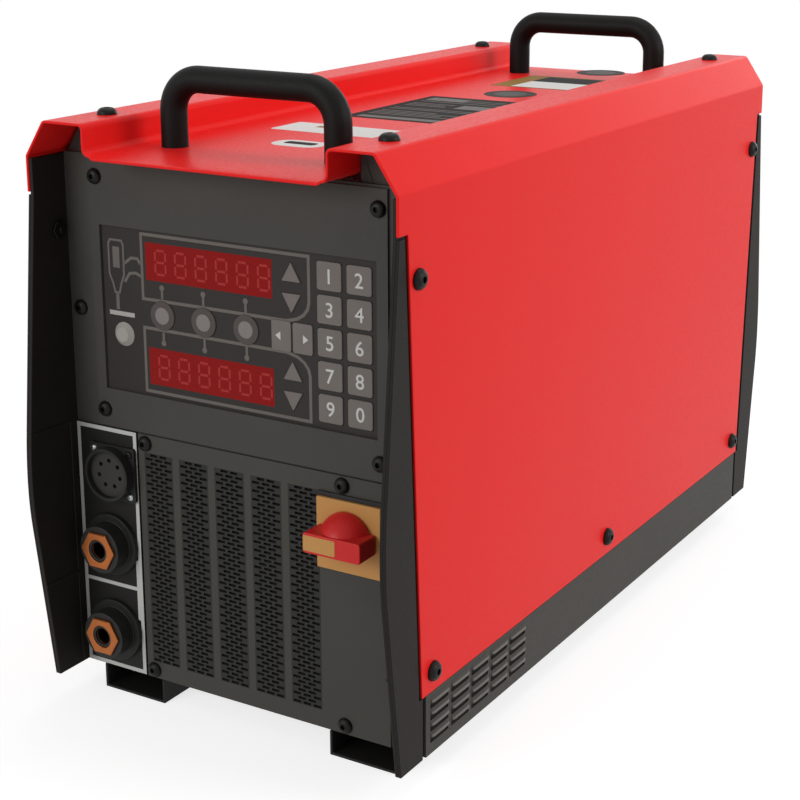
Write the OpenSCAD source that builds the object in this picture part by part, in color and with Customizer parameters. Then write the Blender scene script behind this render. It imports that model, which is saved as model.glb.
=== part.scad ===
// Stud welding power source: folded sheet case, end frames, keypad panel, sockets, main switch and fan.
// Millimetres. +Z up, front towards -Y, origin on the ground at the middle of the case.

/* [Case] */
// Width over the side walls of the cover
case_w = 320; // [300:1:340]
// Length of the cover, hood to hood
case_l = 672; // [640:1:720]
// Height of the rail tops above the ground
rail_top_z = 460; // [452:1:490]
// Depth of the tray between the rails
tray_depth = 22; // [16:1:24]
// Width of the slope from each side wall to its rail
slope_w = 18; // [14:1:22]
// Height of that slope
slope_h = 27; // [22:1:30]
// Flat width of each rail top
rail_w = 38; // [34:1:44]
// Thickness of the cover sheet
sheet_t = 2; // [1.6:0.1:2.4]
// Height of the hood ends, from their lower edge to the rail tops
hood_h = 54; // [48:1:60]
// How far the side wall ends lie behind the hood, just below it
wall_setback_high = 12; // [8:1:16]
// How far the side wall ends lie behind the hood, at the bottom
wall_setback_low = 29; // [24:1:32]

/* [Base] */
// Height of the skid channels
skid_h = 20; // [14:1:24]
// Width of each skid channel
skid_w = 60; // [50:1:66]
// Gap from the case's side to the outer edge of each skid
skid_inset = 22; // [16:1:34]
// Sheet thickness of the skids
skid_t = 2; // [1.5:0.1:3]
// Thickness of the pan floor
floor_t = 2; // [1.5:0.1:3]
// Height of the visible side bands of the base pan
band_h = 48; // [44:1:56]
// Thickness of the inner flange that carries the cover
flange_t = 2; // [1.5:0.1:3]
// Height of that flange above the band
flange_h = 34; // [28:1:40]
// Length of one vent slot in the side band
vent_l = 26; // [18:1:27]
// Height of one vent slot
vent_h = 4; // [3:0.5:5]
// Spacing of the vent slots along the band
vent_pitch_y = 30; // [28:1:34]
// Spacing of the vent slots up the band
vent_pitch_z = 9; // [7:0.5:10]
// Slots along the band
vent_cols = 5; // [3:1:6]
// Slots up the band
vent_rows = 4; // [2:1:4]
// First vent slot's middle, behind the hood's front edge
vent_start = 53; // [50:1:70]

/* [End frames] */
// How far the wings' widest point would stand out beyond the hood if it were sharp
bulge_d = 20.5; // [12:0.5:26]
// Height of the wings' widest point above the ground
bulge_z = 183; // [150:1:220]
// Thickness of the inner plate of each wing
wing_plate_t = 3; // [2:0.1:4]
// Gap between each wing's skin and the cover or band behind it
seam = 4; // [3:0.5:6]
// Distance from the hood's edge back to the frame's panel
panel_setback = 35; // [32:1:40]
// Thickness of the frame's panel
panel_t = 3; // [2:0.1:4]
// Gap between the panel's top and the tray above it
panel_top_gap = 4; // [3:0.5:8]
// Width of the flange behind the panel that each wing is screwed by
wing_flange_w = 20; // [16:1:22]
// Width of the tab under each rail's screw
tab_w = 22; // [18:1:24]

/* [Handles] */
// Diameter of the handle tube
tube_d = 20; // [16:1:24]
// Gap from each rail's inner wall to the middle of a handle's leg
leg_margin = 32; // [24:1:44]
// Distance of each handle from the hood's edge
handle_inset = 64; // [52:1:96]
// Height of the grip's axis above the tray
grip_rise = 50.5; // [44:0.5:60]
// Radius of the tube's bends at its axis
bend_r = 24; // [18:1:30]

/* [Screws] */
// Head diameter of the cover screws
cover_head_d = 15; // [12:1:17]
// Head height of the cover screws
cover_head_h = 5; // [4:0.5:6]
// Thread diameter of the cover screws
cover_thread_d = 8; // [6:0.5:8]
// Head diameter of the panel screws
panel_head_d = 12; // [9:0.5:13]
// Head height of the panel screws
panel_head_h = 3.5; // [3:0.5:5]
// Thread diameter of the panel screws
panel_thread_d = 6; // [4:0.5:6]
// Height of the lower cover screws above the side band
side_screw_rise = 16; // [12:1:20]
// Distance of the outer lower cover screws from the hood's edge
side_screw_inset = 44; // [42:1:60]
// Distance of the upper cover screws below the hood's lower edge
top_screw_drop = 32; // [24:1:60]
// Distance of the upper cover screws from the hood's edge
top_screw_inset = 25; // [23:1:26]
// Distance of the rail screws from the hood's edge
rail_screw_inset = 49; // [45:1:52]

/* [Control panel] */
// Thickness of the screwed-on plates
plate_t = 2; // [1.5:0.1:3]
// Gap from the wings to the control plate
plate_margin = 24; // [20:1:28]
// Share of the panel's height that lies below the seam of its plates
seam_share = 0.492; // [0.48:0.002:0.5]
// Border of the control plate at each side of the keypad window
keypad_border = 9; // [7:0.5:12]
// Height of the keypad window
keypad_h = 127; // [118:1:134]
// How far the keypad's middle lies below the middle of the control plate
keypad_shift = 10; // [4:0.5:14]
// Thickness of the keypad overlay
overlay_t = 1.5; // [1:0.1:2]
// Width of a number key
key_w = 20.4; // [18:0.1:21]
// Gap between two number keys sideways
key_gap_x = 4.3; // [3:0.1:6]
// Gap between two number keys upwards
key_gap_z = 3.25; // [2.5:0.05:5]
// Gap from the number keys to the right edge of the keypad
key_edge_x = 4.7; // [4:0.1:8]
// Gap from the number keys to the keypad's upper and lower edges
key_edge_z = 5.25; // [4:0.05:8]
// How far the keys stand out of the overlay
key_proud = 0.9; // [0.9:0.1:1.4]
// Free space behind a key, in which it travels
key_space = 1; // [1:0.1:1.5]
// Gap between two round mode buttons
mode_gap = 15.6; // [12:0.1:18]
// How far the mode buttons lie left of the displays' middle
mode_shift = 4.5; // [0:0.5:8]
// Width of each select key
select_w = 17; // [15:0.1:17]
// Gap between the select keys and the arrow keys' tips
select_space = 6.4; // [5:0.1:8]
// Gap between the select keys and the number keys
arrow_gap = 4.2; // [3:0.1:6]
// Distance from an arrow key's middle to its corners
arrow_r = 9.4; // [8:0.1:10]
// Distance of the outer arrow keys' middle from the keypad's edge
arrow_edge = 18.5; // [16:0.5:20]
// Distance between the two arrow keys of a pair
arrow_pitch = 18; // [16:0.5:20]
// Gap from the keypad's left edge to the display windows
display_margin = 41.5; // [38:0.5:48]
// Gap between the display windows and the arrow keys
display_gap = 8.7; // [6:0.1:12]
// Height of a display window
display_h = 28.5; // [26:0.5:30]
// Gap from the display windows to the keypad's upper and lower edges
display_edge = 9.25; // [7:0.05:12]
// Diameter of the status lamp
lamp_d = 18.5; // [14:0.5:20]
// Distance of the status lamp's middle from the keypad's left edge
lamp_edge = 18.5; // [14:0.5:22]
// Distance of the status lamp below the keypad's middle line
lamp_drop = 19; // [16:0.5:24]

/* [Grille] */
// Number of grille strips
strip_count = 5; // [3:1:5]
// Gap between two grille strips
strip_gap = 6.2; // [5:0.1:8]
// Gap from the grille panel's left edge to the first strip
strip_edge = 5.5; // [5:0.5:8]
// Height of one grille slot
slot_h = 4; // [3:0.1:5]
// Gap between two grille slots
slot_gap = 4; // [3:0.1:6]
// Plain border above the slots, which holds the plate's screws
grille_border_top = 14; // [13:0.5:16]
// Plain border below the slots
grille_border_low = 14; // [13:0.5:16]

/* [Sockets] */
// Width of the connector plate
connector_w = 60; // [58:1:60]
// Height of the control socket's axis, as a share of the connector plate's height
control_share = 0.825; // [0.815:0.005:0.85]
// Height of the upper weld socket's axis, as such a share
weld_high_share = 0.525; // [0.51:0.005:0.54]
// Height of the lower weld socket's axis, as such a share
weld_low_share = 0.167; // [0.15:0.001:0.18]
// Side of the control socket's square flange
control_flange = 44; // [42:1:48]
// Border of that flange around the socket's shell
control_edge = 1; // [1:0.5:6]
// How far the control socket's shell stands out
control_reach = 8; // [6:1:18]
// Flange diameter of a weld socket
weld_flange_d = 50; // [46:1:52]
// Barrel diameter of a weld socket
weld_barrel_d = 38; // [34:1:40]
// How far a weld socket's barrel stands out of the plate
weld_reach = 17; // [12:1:22]
// Bore of a weld socket's contact
weld_bore_d = 13.5; // [12:0.1:14]
// Depth of that bore
weld_bore_l = 34; // [28:1:38]
// Outer diameter of a weld socket's contact
contact_d = 22; // [20:0.5:24]
// How far the hexagonal rim of a contact stands out around it, at its flats
contact_rim = 3; // [1:0.1:4]

/* [Main switch] */
// Side of the square switch plate
switch_side = 54; // [48:1:56]
// Gap between the switch plate and the panel screw above it
switch_gap = 3.2; // [2:0.1:6]
// Gap from the right wing to the switch's axis
switch_margin = 56; // [54:1:60]
// Diameter of the handle's round foot, which narrows to the grip
knob_d = 41; // [36:1:46]
// Height of the round foot
knob_foot_h = 8; // [6:0.5:10]
// Length of the grip bar
grip_l = 48; // [40:1:50]
// Width of the grip bar
grip_w = 15; // [12:0.5:18]
// Height of the grip bar above the foot
grip_h = 14; // [10:0.5:18]
// Diameter of the switch shaft
shaft_d = 8; // [6:0.5:10]
// Side of the switch body
switch_body_side = 48; // [40:1:50]
// Length of the switch body
switch_body_l = 60; // [50:1:80]

/* [Fan and rear] */
// Side of the square fan frame
fan_side = 160; // [156:1:166]
// Depth of the fan frame
fan_depth = 50; // [40:1:56]
// Thickness of the fan frame's rim, at its thinnest
fan_rim = 7; // [6:0.5:10]
// Height of the fan's axis above the ground
fan_z = 140; // [136:1:146]
// Diameter of the fan's hub
hub_d = 58; // [50:1:64]
// Number of fan blades
blade_count = 7; // [5:1:9]
// Wire diameter of the fan guard
guard_wire_d = 2.4; // [2:0.1:3]
// Spacing of the guard's rings
guard_pitch = 11; // [10:0.5:12]
// Bore of the mains cable gland
gland_bore_d = 14; // [12:0.5:15]
// Height of the gland's axis above the ground
gland_z = 80; // [76:1:90]
// Gap between the gland and the fan frame
gland_gap = 10; // [6:1:14]

/* [Power parts] */
// Width of the heatsink
sink_w = 160; // [140:1:168]
// Gap between the transformer's winding and the heatsink
sink_gap = 10; // [6:1:20]
// Height of the heatsink
sink_h = 98; // [80:1:100]
// Thickness of the heatsink's base
sink_base_t = 12; // [8:1:14]
// Thickness of a fin
fin_t = 3; // [2:0.1:4]
// Gap between two fins
fin_gap = 10; // [8:0.1:12]
// Gap between the heatsink and the fan
fan_gap = 52; // [40:1:70]
// Diameter of a capacitor
cap_d = 50; // [40:1:50]
// Height of a capacitor
cap_h = 90; // [70:1:110]
// Length of the transformer core, across the case
core_l = 130; // [110:1:140]
// Width of the transformer core, along the case
core_w = 90; // [80:1:92]
// Height of the transformer core
core_h = 110; // [90:1:120]
// Outer diameter of the output choke
choke_d = 110; // [96:1:112]
// Thickness of the choke's ring
choke_ring_d = 36; // [30:1:40]

/* [Hidden] */
$fn = 48;
overrun = 1;
clear = 0.3;
run_clear = 0.05;
half_w = case_w / 2;
half_l = case_l / 2;
tray_z = rail_top_z - tray_depth;
tray_under_z = tray_z - sheet_t;
rail_out_x = half_w - slope_w;
rail_in_x = rail_out_x - rail_w;
rail_x = rail_out_x - rail_w / 2;
leg_spacing = 2 * (rail_in_x - leg_margin);
handle_y = half_l - handle_inset;
skid_x = half_w - skid_inset - skid_w / 2;
wall_in_x = half_w - sheet_t;
wall_top_z = rail_top_z - slope_h;
hood_low_z = rail_top_z - hood_h;
floor_top_z = skid_h + floor_t;
band_top_z = skid_h + band_h;
flange_top_z = band_top_z + flange_h;
flange_in_x = wall_in_x - flange_t;
wall_low_y = half_l - wall_setback_low;
wall_high_y = half_l - wall_setback_high;
wing_in_x = wall_in_x - wing_plate_t;
panel_y = half_l - panel_setback;
panel_back_y = panel_y - panel_t;
flange_back_y = panel_back_y - wing_plate_t;
plate_y = panel_y + plate_t;
panel_top_z = tray_under_z - panel_top_gap;
band_lap = 1;
band_end_y = panel_y + band_lap;
wing_top_z = hood_low_z - seam / 2;
wing_root_z = min(wall_top_z - sheet_t, panel_top_z);
wing_join = wing_plate_t / 2;
wing_tuck = 1;

// The wings' front edge, in y and z: straight, rounded over at the bulge, straight
wing_low = [-half_l, skid_h];
wing_tip = [-half_l - bulge_d, bulge_z];
wing_high = [-half_l + wing_tuck, wing_top_z];
wing_round_share = 0.2;
wing_bend_steps = 8;
function along(a, b, share) = a + (b - a) * share;
function bend(a, c, b, share) = along(along(a, c, share), along(c, b, share), share);
wing_bend_low = along(wing_tip, wing_low, wing_round_share);
wing_bend_high = along(wing_tip, wing_high, wing_round_share);
wing_bend = [for (i = [0 : wing_bend_steps])
    bend(wing_bend_low, wing_tip, wing_bend_high, i / wing_bend_steps)];
wing_front = concat([wing_low], wing_bend, [wing_high]);

// Screws
hole_clear = 0.4;
thread_spare = 1;
screw_socket_share = 0.36;
head_rim_share = 0.4;
head_crown_share = 0.6;
socket_depth_share = 0.6;
side_screw_low_z = band_top_z + side_screw_rise;
side_screw_low_ys = [side_screw_inset - half_l, 0, half_l - side_screw_inset];
side_screw_high_z = hood_low_z - top_screw_drop;
side_screw_high_y = half_l - top_screw_inset;
rail_screw_y = half_l - rail_screw_inset;
cover_thread_l = 10;
bolt_d = 8;
bolt_head_d = 13;
bolt_head_h = 6;
bolt_reach = 22;
tab_t = 3;
tab_lap = 26;
tab_gap = 1;
tab_slope_gap = 4;
slope_turn = atan2(slope_w, slope_h);
wall_in_z = wall_top_z - sheet_t * tan(slope_turn / 2);
slope_in_x = rail_out_x - sheet_t * tan((90 - slope_turn) / 2);
tab_l = panel_back_y - rail_screw_y + cover_head_d;

// Control panel
plate_half_w = wing_in_x - plate_margin;
plate_top_gap = 2;
plate_top_z = panel_top_z - plate_top_gap;
plate_seam_gap = 1.5;
plate_low_gap = 0.5;
plate_low_z = skid_h + plate_low_gap;
plate_seam_z = along(plate_low_z, plate_top_z, seam_share);
plate_split_high_z = plate_seam_z + plate_seam_gap / 2;
plate_split_low_z = plate_seam_z - plate_seam_gap / 2;
screw_edge = 1;
screw_inset = panel_head_d / 2 + screw_edge;
margin_screw_share = 0.435;
margin_screw_x = wing_in_x - wing_flange_w / 2;
margin_screw_z = along(plate_seam_z, wing_root_z, margin_screw_share);
keypad_w = 2 * (plate_half_w - keypad_border);
keypad_z = (plate_split_high_z + plate_top_z) / 2 - keypad_shift;
overlay_lip = 3;
overlay_y = panel_y;
overlay_back_y = overlay_y - overlay_t;
window_gap = 2;
key_front_y = overlay_y + key_proud;
key_root = 2.5;
key_back_y = overlay_back_y - key_root;
board_y = key_back_y - key_space;
board_t = 1.6;
board_inset = 4;
board_spacer_d = 7;
key_corner = 2;
key_rows = 5;
key_order = [["1", "2"], ["3", "4"], ["5", "6"], ["7", "8"], ["9", "0"]];
key_h = (keypad_h - 2 * key_edge_z - (key_rows - 1) * key_gap_z) / key_rows;
key_pitch_x = key_w + key_gap_x;
key_pitch_z = key_h + key_gap_z;
key_x = keypad_w / 2 - key_edge_x - key_w / 2 - key_pitch_x;
select_gap = 0.8;
arrow_x = key_x - key_w / 2 - arrow_gap - select_w - select_gap / 2 - clear;
arrow_far = keypad_h / 2 - arrow_edge;
arrow_near = arrow_far - arrow_pitch;
arrow_half_w = arrow_r * sin(60);
select_h = 2 * (arrow_near - arrow_r - select_space);
display_left_x = display_margin - keypad_w / 2;
display_right_x = arrow_x - arrow_half_w - display_gap;
display_w = display_right_x - display_left_x;
display_x = (display_left_x + display_right_x) / 2;
display_rise = keypad_h / 2 - display_edge - display_h / 2;
mode_count = 3;
mode_pitch = display_w / mode_count;
mode_d = mode_pitch - mode_gap;
mode_x = display_x - mode_shift;
lamp_x = lamp_edge - keypad_w / 2;
lamp_rise = 3;
frame_window_w = keypad_w + 2 * overlay_lip + 2 * window_gap;
frame_window_h = keypad_h + 2 * overlay_lip + 2 * window_gap;

// Places of the keys, in x and z
top_key_z = keypad_z + (key_rows - 1) / 2 * key_pitch_z;
function number_place(col, row) = [key_x + col * key_pitch_x, top_key_z - row * key_pitch_z];
function select_place(side) = [arrow_x + side * (select_w + select_gap + 2 * clear) / 2, keypad_z];
function mode_place(i) = [mode_x + i * mode_pitch, keypad_z];

// Grille and sockets
grille_left_x = -wing_in_x + connector_w + plate_seam_gap;
grille_low_z = plate_low_z + grille_border_low;
grille_high_z = plate_split_low_z - grille_border_top;
slot_pitch = slot_h + slot_gap;
slot_rows = floor((grille_high_z - grille_low_z - slot_h) / slot_pitch) + 1;
connector_left_x = -wing_in_x + plate_low_gap;
socket_shift = 2;
socket_x = -wing_in_x + connector_w / 2 + socket_shift;
control_shift = 5;
control_x = socket_x + control_shift;
control_z = along(plate_low_z, plate_split_low_z, control_share);
weld_high_z = along(plate_low_z, plate_split_low_z, weld_high_share);
weld_low_z = along(plate_low_z, plate_split_low_z, weld_low_share);
control_shell_d = control_flange - 2 * control_edge;
control_step = 3;
control_body_d = control_shell_d - 2 * control_step;
control_screw_share = 0.39;
control_thread_d = 3;
control_head_d = 6;
control_head_h = 2;
control_flange_t = 3;
control_shell_wall = 2.5;
control_insert_t = 3.5;
control_body_l = 22;
pin_d = 3.6;
pin_ring_d = 21;
pin_count = 7;
weld_flange_t = 4;
weld_back_l = 14;
hex_half_angle = 30;
contact_rim_d = (contact_d + 2 * contact_rim) / cos(hex_half_angle);
contact_rim_t = 2.5;
contact_l = 46;
stud_d = 10;
stud_l = 14;

// Main switch
switch_x = wing_in_x - switch_margin;
switch_z = plate_split_low_z - 2 * screw_inset - switch_gap - switch_side / 2;
strip_end = 0.2;
strip_x = grille_left_x + strip_edge;
strips_w = switch_x - switch_side / 2 - strip_end - strip_x;
strip_w = (strips_w - (strip_count - 1) * strip_gap) / strip_count;
strip_pitch = strip_w + strip_gap;
switch_plate_t = 4;
switch_plate_corner = 1.5;
knob_gap = 0.4;
lock_edge = 1.5;
lock_w = grip_w - 2 * lock_edge;
lock_d = 4;
lock_share = 0.56;
grip_corner_share = 1 / 6;
knob_rim_share = 0.5;
shaft_space = 2;
shaft_hole_d = shaft_d + 2 * shaft_space;
shaft_depth_share = 0.8;
knob_back_y = -plate_y - switch_plate_t - knob_gap;
knob_rim_y = knob_back_y - knob_foot_h * knob_rim_share;
knob_face_y = knob_back_y - knob_foot_h;
grip_front_y = knob_face_y - grip_h;

// Fan and rear
fan_bore = fan_side - 2 * fan_rim;
fan_back_y = panel_back_y - fan_depth;
fan_screw_share = 0.44;
fan_thread_d = 5;
fan_head_d = 9;
fan_head_h = 3;
fan_wall = 5;
spindle_d = 8;
spider_w = 9;
spider_t = 4;
motor_d = 50;
hub_h = 26;
axial_gap = 0.5;
blade_gap = 2;
blade_t = 2.5;
blade_chord = 24;
blade_tilt = 35;
motor_y = panel_back_y - spider_t;
hub_back_y = motor_y - axial_gap;
guard_ring_lift = 0.8;
guard_ring_count = floor((fan_bore / 2 - guard_pitch) / guard_pitch) + 1;
rear_vent_rows = 9;
rear_vent_cols = 4;
rear_vent_edge = 25;
rear_vent_gap_x = 12;
rear_vent_half_w = plate_half_w - rear_vent_edge;
rear_vent_l = (2 * rear_vent_half_w - (rear_vent_cols - 1) * rear_vent_gap_x) / rear_vent_cols;
rear_vent_rise = 22;
rear_vent_low_z = fan_z + fan_side / 2 + rear_vent_rise;
rear_vent_high_z = rear_vent_low_z + (rear_vent_rows - 1) * slot_pitch + slot_h;
gland_hex_d = 30;
gland_x = fan_side / 2 + gland_gap + gland_hex_d / 2;
gland_hex_t = 8;
gland_dome_l = 16;
gland_dome_d = 24;
gland_neck_d = 20;
gland_nut_t = 5;
gland_tip_y = plate_y + gland_hex_t + gland_dome_l;

// Power parts
bar_t = 5;
bar_in_x = socket_x + bar_t / 2;
choke_space = 20;
choke_gap = 7.5;
choke_x = bar_in_x + choke_gap + choke_d / 2;
choke_y = choke_space + choke_d / 2 - panel_back_y;
choke_plinth_h = 4;
choke_z = floor_top_z + choke_plinth_h + choke_ring_d / 2;
core_gap = 6;
core_yoke_share = 0.2;
winding_overhang = 14;
core_front_y = choke_y + choke_d / 2 + core_gap + winding_overhang;
sink_front_y = core_front_y + core_w + winding_overhang + sink_gap;
sink_back_y = fan_back_y - fan_gap;
sink_l = sink_back_y - sink_front_y;
sink_top_z = floor_top_z + sink_h;
fin_pitch = fin_t + fin_gap;
fin_count = floor((sink_w - fin_t) / fin_pitch) + 1;
board_post_h = 14;
board_post_d = 10;
power_board_t = 2;
power_board_inset = 8;
board_half_x = sink_w / 2 - power_board_inset;
board_half_y = sink_l / 2 - power_board_inset;
cap_space = 8;
cap_pitch = cap_d + cap_space;
cap_rows = floor((2 * board_half_y + cap_space) / cap_pitch);
cap_cols = floor((2 * board_half_x + cap_space) / cap_pitch);
terminal_w = 16;
bar_lap = 1;
bar_h = 22;
lug_w = 28;
foot_l = 26;
foot_lap = 10;
lug_y = contact_l - weld_reach - plate_y;

red = [0.85, 0.19, 0.18];
dark_grey = [0.24, 0.24, 0.23];
black = [0.08, 0.08, 0.08];
key_grey = [0.38, 0.33, 0.31];
brass = [0.78, 0.55, 0.27];
tan_yellow = [0.68, 0.5, 0.26];

// A flat shape drawn as seen from the front, in x and z, given a thickness from y0 to y1
module across(y0, y1) {
    translate([0, y1, 0]) rotate([90, 0, 0]) linear_extrude(y1 - y0) children();
}

// A flat shape drawn as seen from the right, in y and z, given a thickness from x0 to x1
module sideways(x0, x1) {
    translate([x0, 0, 0]) rotate([90, 0, 90]) linear_extrude(x1 - x0) children();
}

// A round bar along y
module rod_y(d, y0, y1, x, z) {
    translate([x, y1, z]) rotate([90, 0, 0]) cylinder(d = d, h = y1 - y0);
}

// A round bar along x
module rod_x(d, x0, x1, y, z) {
    translate([x0, y, z]) rotate([0, 90, 0]) cylinder(d = d, h = x1 - x0);
}

// A rectangle between two corners
module rect(x0, z0, x1, z1) {
    translate([x0, z0]) square([x1 - x0, z1 - z0]);
}

// A rectangle with round corners about its own middle
module round_rect(w, h, r) {
    corner = min(r, w / 3, h / 3);
    square([w - 2 * corner, h], center = true);
    square([w, h - 2 * corner], center = true);
    for (i = [-1, 1]) for (j = [-1, 1])
        translate([i * (w / 2 - corner), j * (h / 2 - corner)]) circle(corner);
}

// A solid of revolution about y, from points of radius and y
module turned_y(points, x, z) {
    translate([x, 0, z]) rotate([-90, 0, 0]) rotate_extrude() polygon(points);
}

// A button-head screw with a hex socket: head above the seat, thread below it
module button_screw(head_d, head_h, thread_d, thread_l) {
    r = head_d / 2;
    difference() {
        rotate_extrude() polygon([[0, -thread_l], [thread_d / 2, -thread_l], [thread_d / 2, 0], [r, 0],
            [r, head_h * head_rim_share], [r * head_crown_share, head_h], [0, head_h]]);
        translate([0, 0, head_h * (1 - socket_depth_share)])
            cylinder(d = head_d * screw_socket_share, h = head_h, $fn = 6);
    }
}

// Places of the cover screws, shared by the screws and the holes they pass through
module at_side_screws() {
    for (y = side_screw_low_ys) translate([0, y, side_screw_low_z]) children();
    for (end = [-1, 1]) translate([0, end * side_screw_high_y, side_screw_high_z]) children();
}

module at_rail_screws() {
    for (side = [-1, 1]) for (end = [-1, 1])
        translate([side * rail_x, end * rail_screw_y, rail_top_z]) children();
}

module at_handle_bolts() {
    for (side = [-1, 1]) for (end = [-1, 1])
        translate([side * leg_spacing / 2, end * handle_y, tray_under_z]) children();
}

module side_screw_holes() {
    at_side_screws() rotate([0, 90, 0])
        cylinder(d = cover_thread_d + hole_clear, h = case_w + 2 * overrun, center = true);
}

// Base pan: floor, side bands and the inner flanges that carry the cover
module base_pan() {
    section = [[-half_w, skid_h], [half_w, skid_h], [half_w, band_top_z], [wall_in_x, band_top_z],
        [wall_in_x, flange_top_z], [flange_in_x, flange_top_z], [flange_in_x, floor_top_z],
        [-flange_in_x, floor_top_z], [-flange_in_x, flange_top_z], [-wall_in_x, flange_top_z],
        [-wall_in_x, band_top_z], [-half_w, band_top_z]];
    vent_z = skid_h + band_h / 2 - (vent_rows - 1) * vent_pitch_z / 2;
    color(dark_grey) difference() {
        union() {
            across(-panel_back_y, panel_back_y) polygon(section);
            for (side = [0, 1]) mirror([side, 0, 0])
                across(-band_end_y, band_end_y) rect(wall_in_x, skid_h, half_w, band_top_z);
        }
        sideways(-half_w - overrun, half_w + overrun)
            for (col = [0 : vent_cols - 1]) for (row = [0 : vent_rows - 1])
                translate([-half_l + vent_start + col * vent_pitch_y, vent_z + row * vent_pitch_z])
                    round_rect(vent_l, vent_h, vent_h / 4);
        side_screw_holes();
    }
}

// Skids: two open-ended channels under the pan
module skids() {
    color(dark_grey) across(-plate_y, plate_y) for (side = [-1, 1]) translate([side * skid_x, 0])
        difference() {
            rect(-skid_w / 2, 0, skid_w / 2, skid_h);
            rect(-skid_w / 2 + skid_t, skid_t, skid_w / 2 - skid_t, skid_h + overrun);
        }
}

// Front frame: the flat panel behind the control plate, the grille and the sockets
module front_frame() {
    color(dark_grey) across(-panel_y, -panel_back_y) difference() {
        rect(-wing_in_x, skid_h, wing_in_x, panel_top_z);
        translate([0, keypad_z]) square([frame_window_w, frame_window_h], center = true);
        rect(strip_x, grille_low_z, strip_x + strips_w, grille_high_z);
        translate([control_x, control_z]) circle(d = control_body_d + hole_clear);
        for (z = [weld_low_z, weld_high_z])
            translate([socket_x, z]) circle(d = weld_barrel_d + hole_clear);
        translate([switch_x, switch_z]) circle(d = shaft_hole_d);
        at_front_screws() circle(d = panel_thread_d + hole_clear);
        at_margin_screws() circle(d = panel_thread_d + hole_clear);
        at_control_screws() circle(d = control_thread_d + hole_clear);
    }
}

// Rear frame: the flat panel behind the rear plate
module rear_frame() {
    color(dark_grey) across(panel_back_y, panel_y) difference() {
        rect(-wing_in_x, skid_h, wing_in_x, panel_top_z);
        translate([0, fan_z]) circle(d = fan_bore);
        rect(-rear_vent_half_w, rear_vent_low_z, rear_vent_half_w, rear_vent_high_z);
        translate([gland_x, gland_z]) circle(d = gland_neck_d + hole_clear);
        at_rear_screws() circle(d = panel_thread_d + hole_clear);
        at_margin_screws() circle(d = panel_thread_d + hole_clear);
        at_fan_screws() circle(d = fan_thread_d + hole_clear);
    }
}

// Wings of the front: an inner plate, a skin flush with the cover, and the flange behind the panel
module wings() {
    plate_outline = concat([[-panel_back_y, skid_h]], wing_front,
        [[wing_high[0], wing_root_z], [-flange_back_y, wing_root_z], [-flange_back_y, plate_seam_z],
        [-panel_back_y, plate_seam_z]]);
    skin_outline = concat([[-band_end_y - seam, skid_h]], wing_front,
        [[-wall_high_y - seam, wing_top_z], [-wall_low_y - seam, band_top_z],
        [-band_end_y - seam, band_top_z]]);
    color(dark_grey) difference() {
        for (side = [0, 1]) mirror([side, 0, 0]) {
            sideways(wing_in_x, wall_in_x) polygon(plate_outline);
            sideways(wall_in_x - wing_join, half_w) polygon(skin_outline);
            across(-panel_back_y, -flange_back_y)
                rect(wing_in_x - wing_flange_w, plate_seam_z, wing_in_x + wing_join, wing_root_z);
        }
        across(-panel_back_y - overrun, -flange_back_y + overrun)
            at_margin_screws() circle(d = panel_thread_d + hole_clear);
        side_screw_holes();
    }
}

module front_wings() { wings(); }

module rear_wings() { mirror([0, 1, 0]) wings(); }

// Rail brackets: a plate from behind each panel up into the end of each rail, with a tab under its screw
module rail_brackets() {
    bracket_x = rail_x - tab_w / 2;
    bracket_in_x = rail_in_x + sheet_t + tab_gap;
    bracket_out_x = wing_in_x - wing_flange_w - tab_gap;
    plate_outline = [[bracket_in_x, panel_top_z - tab_lap], [bracket_out_x, panel_top_z - tab_lap],
        [bracket_out_x, wing_root_z + tab_gap], [wall_in_x - tab_slope_gap, wing_root_z + tab_gap],
        [slope_in_x - tab_slope_gap, rail_top_z - sheet_t], [bracket_in_x, rail_top_z - sheet_t]];
    color(dark_grey) difference() {
        for (side = [0, 1]) for (end = [0, 1]) mirror([side, 0, 0]) mirror([0, end, 0]) {
            across(-panel_back_y, -flange_back_y) polygon(plate_outline);
            translate([bracket_x, -panel_back_y, rail_top_z - sheet_t - tab_t]) cube([tab_w, tab_l, tab_t]);
        }
        at_rail_screws()
            cylinder(d = cover_thread_d + hole_clear, h = 2 * cover_thread_l + tab_t, center = true);
        across(-panel_back_y - overrun, -flange_back_y + overrun)
            at_front_screws() circle(d = panel_thread_d + hole_clear);
        across(flange_back_y - overrun, panel_back_y + overrun)
            at_rear_screws() circle(d = panel_thread_d + hole_clear);
    }
}

// Cover: one folded sheet with side walls, slopes, rails and the tray
module cover() {
    right_half = [[wall_in_x, band_top_z], [half_w, band_top_z], [half_w, wall_top_z],
        [rail_out_x, rail_top_z], [rail_in_x, rail_top_z], [rail_in_x, tray_z], [0, tray_z],
        [0, tray_under_z], [rail_in_x + sheet_t, tray_under_z], [rail_in_x + sheet_t, rail_top_z - sheet_t],
        [slope_in_x, rail_top_z - sheet_t], [wall_in_x, wall_in_z]];
    end_cut = [[-half_l - overrun, band_top_z - overrun], [-wall_low_y, band_top_z - overrun],
        [-wall_low_y, band_top_z], [-wall_high_y, hood_low_z], [-half_l - overrun, hood_low_z]];
    color(red) difference() {
        across(-half_l, half_l) {
            polygon(right_half);
            mirror([1, 0]) polygon(right_half);
        }
        for (end = [0, 1]) mirror([0, end, 0])
            sideways(-half_w - overrun, half_w + overrun) polygon(end_cut);
        side_screw_holes();
        at_rail_screws() cylinder(d = cover_thread_d + hole_clear, h = 3 * sheet_t, center = true);
        at_handle_bolts() cylinder(d = bolt_d + hole_clear, h = 3 * sheet_t, center = true);
    }
}

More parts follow.
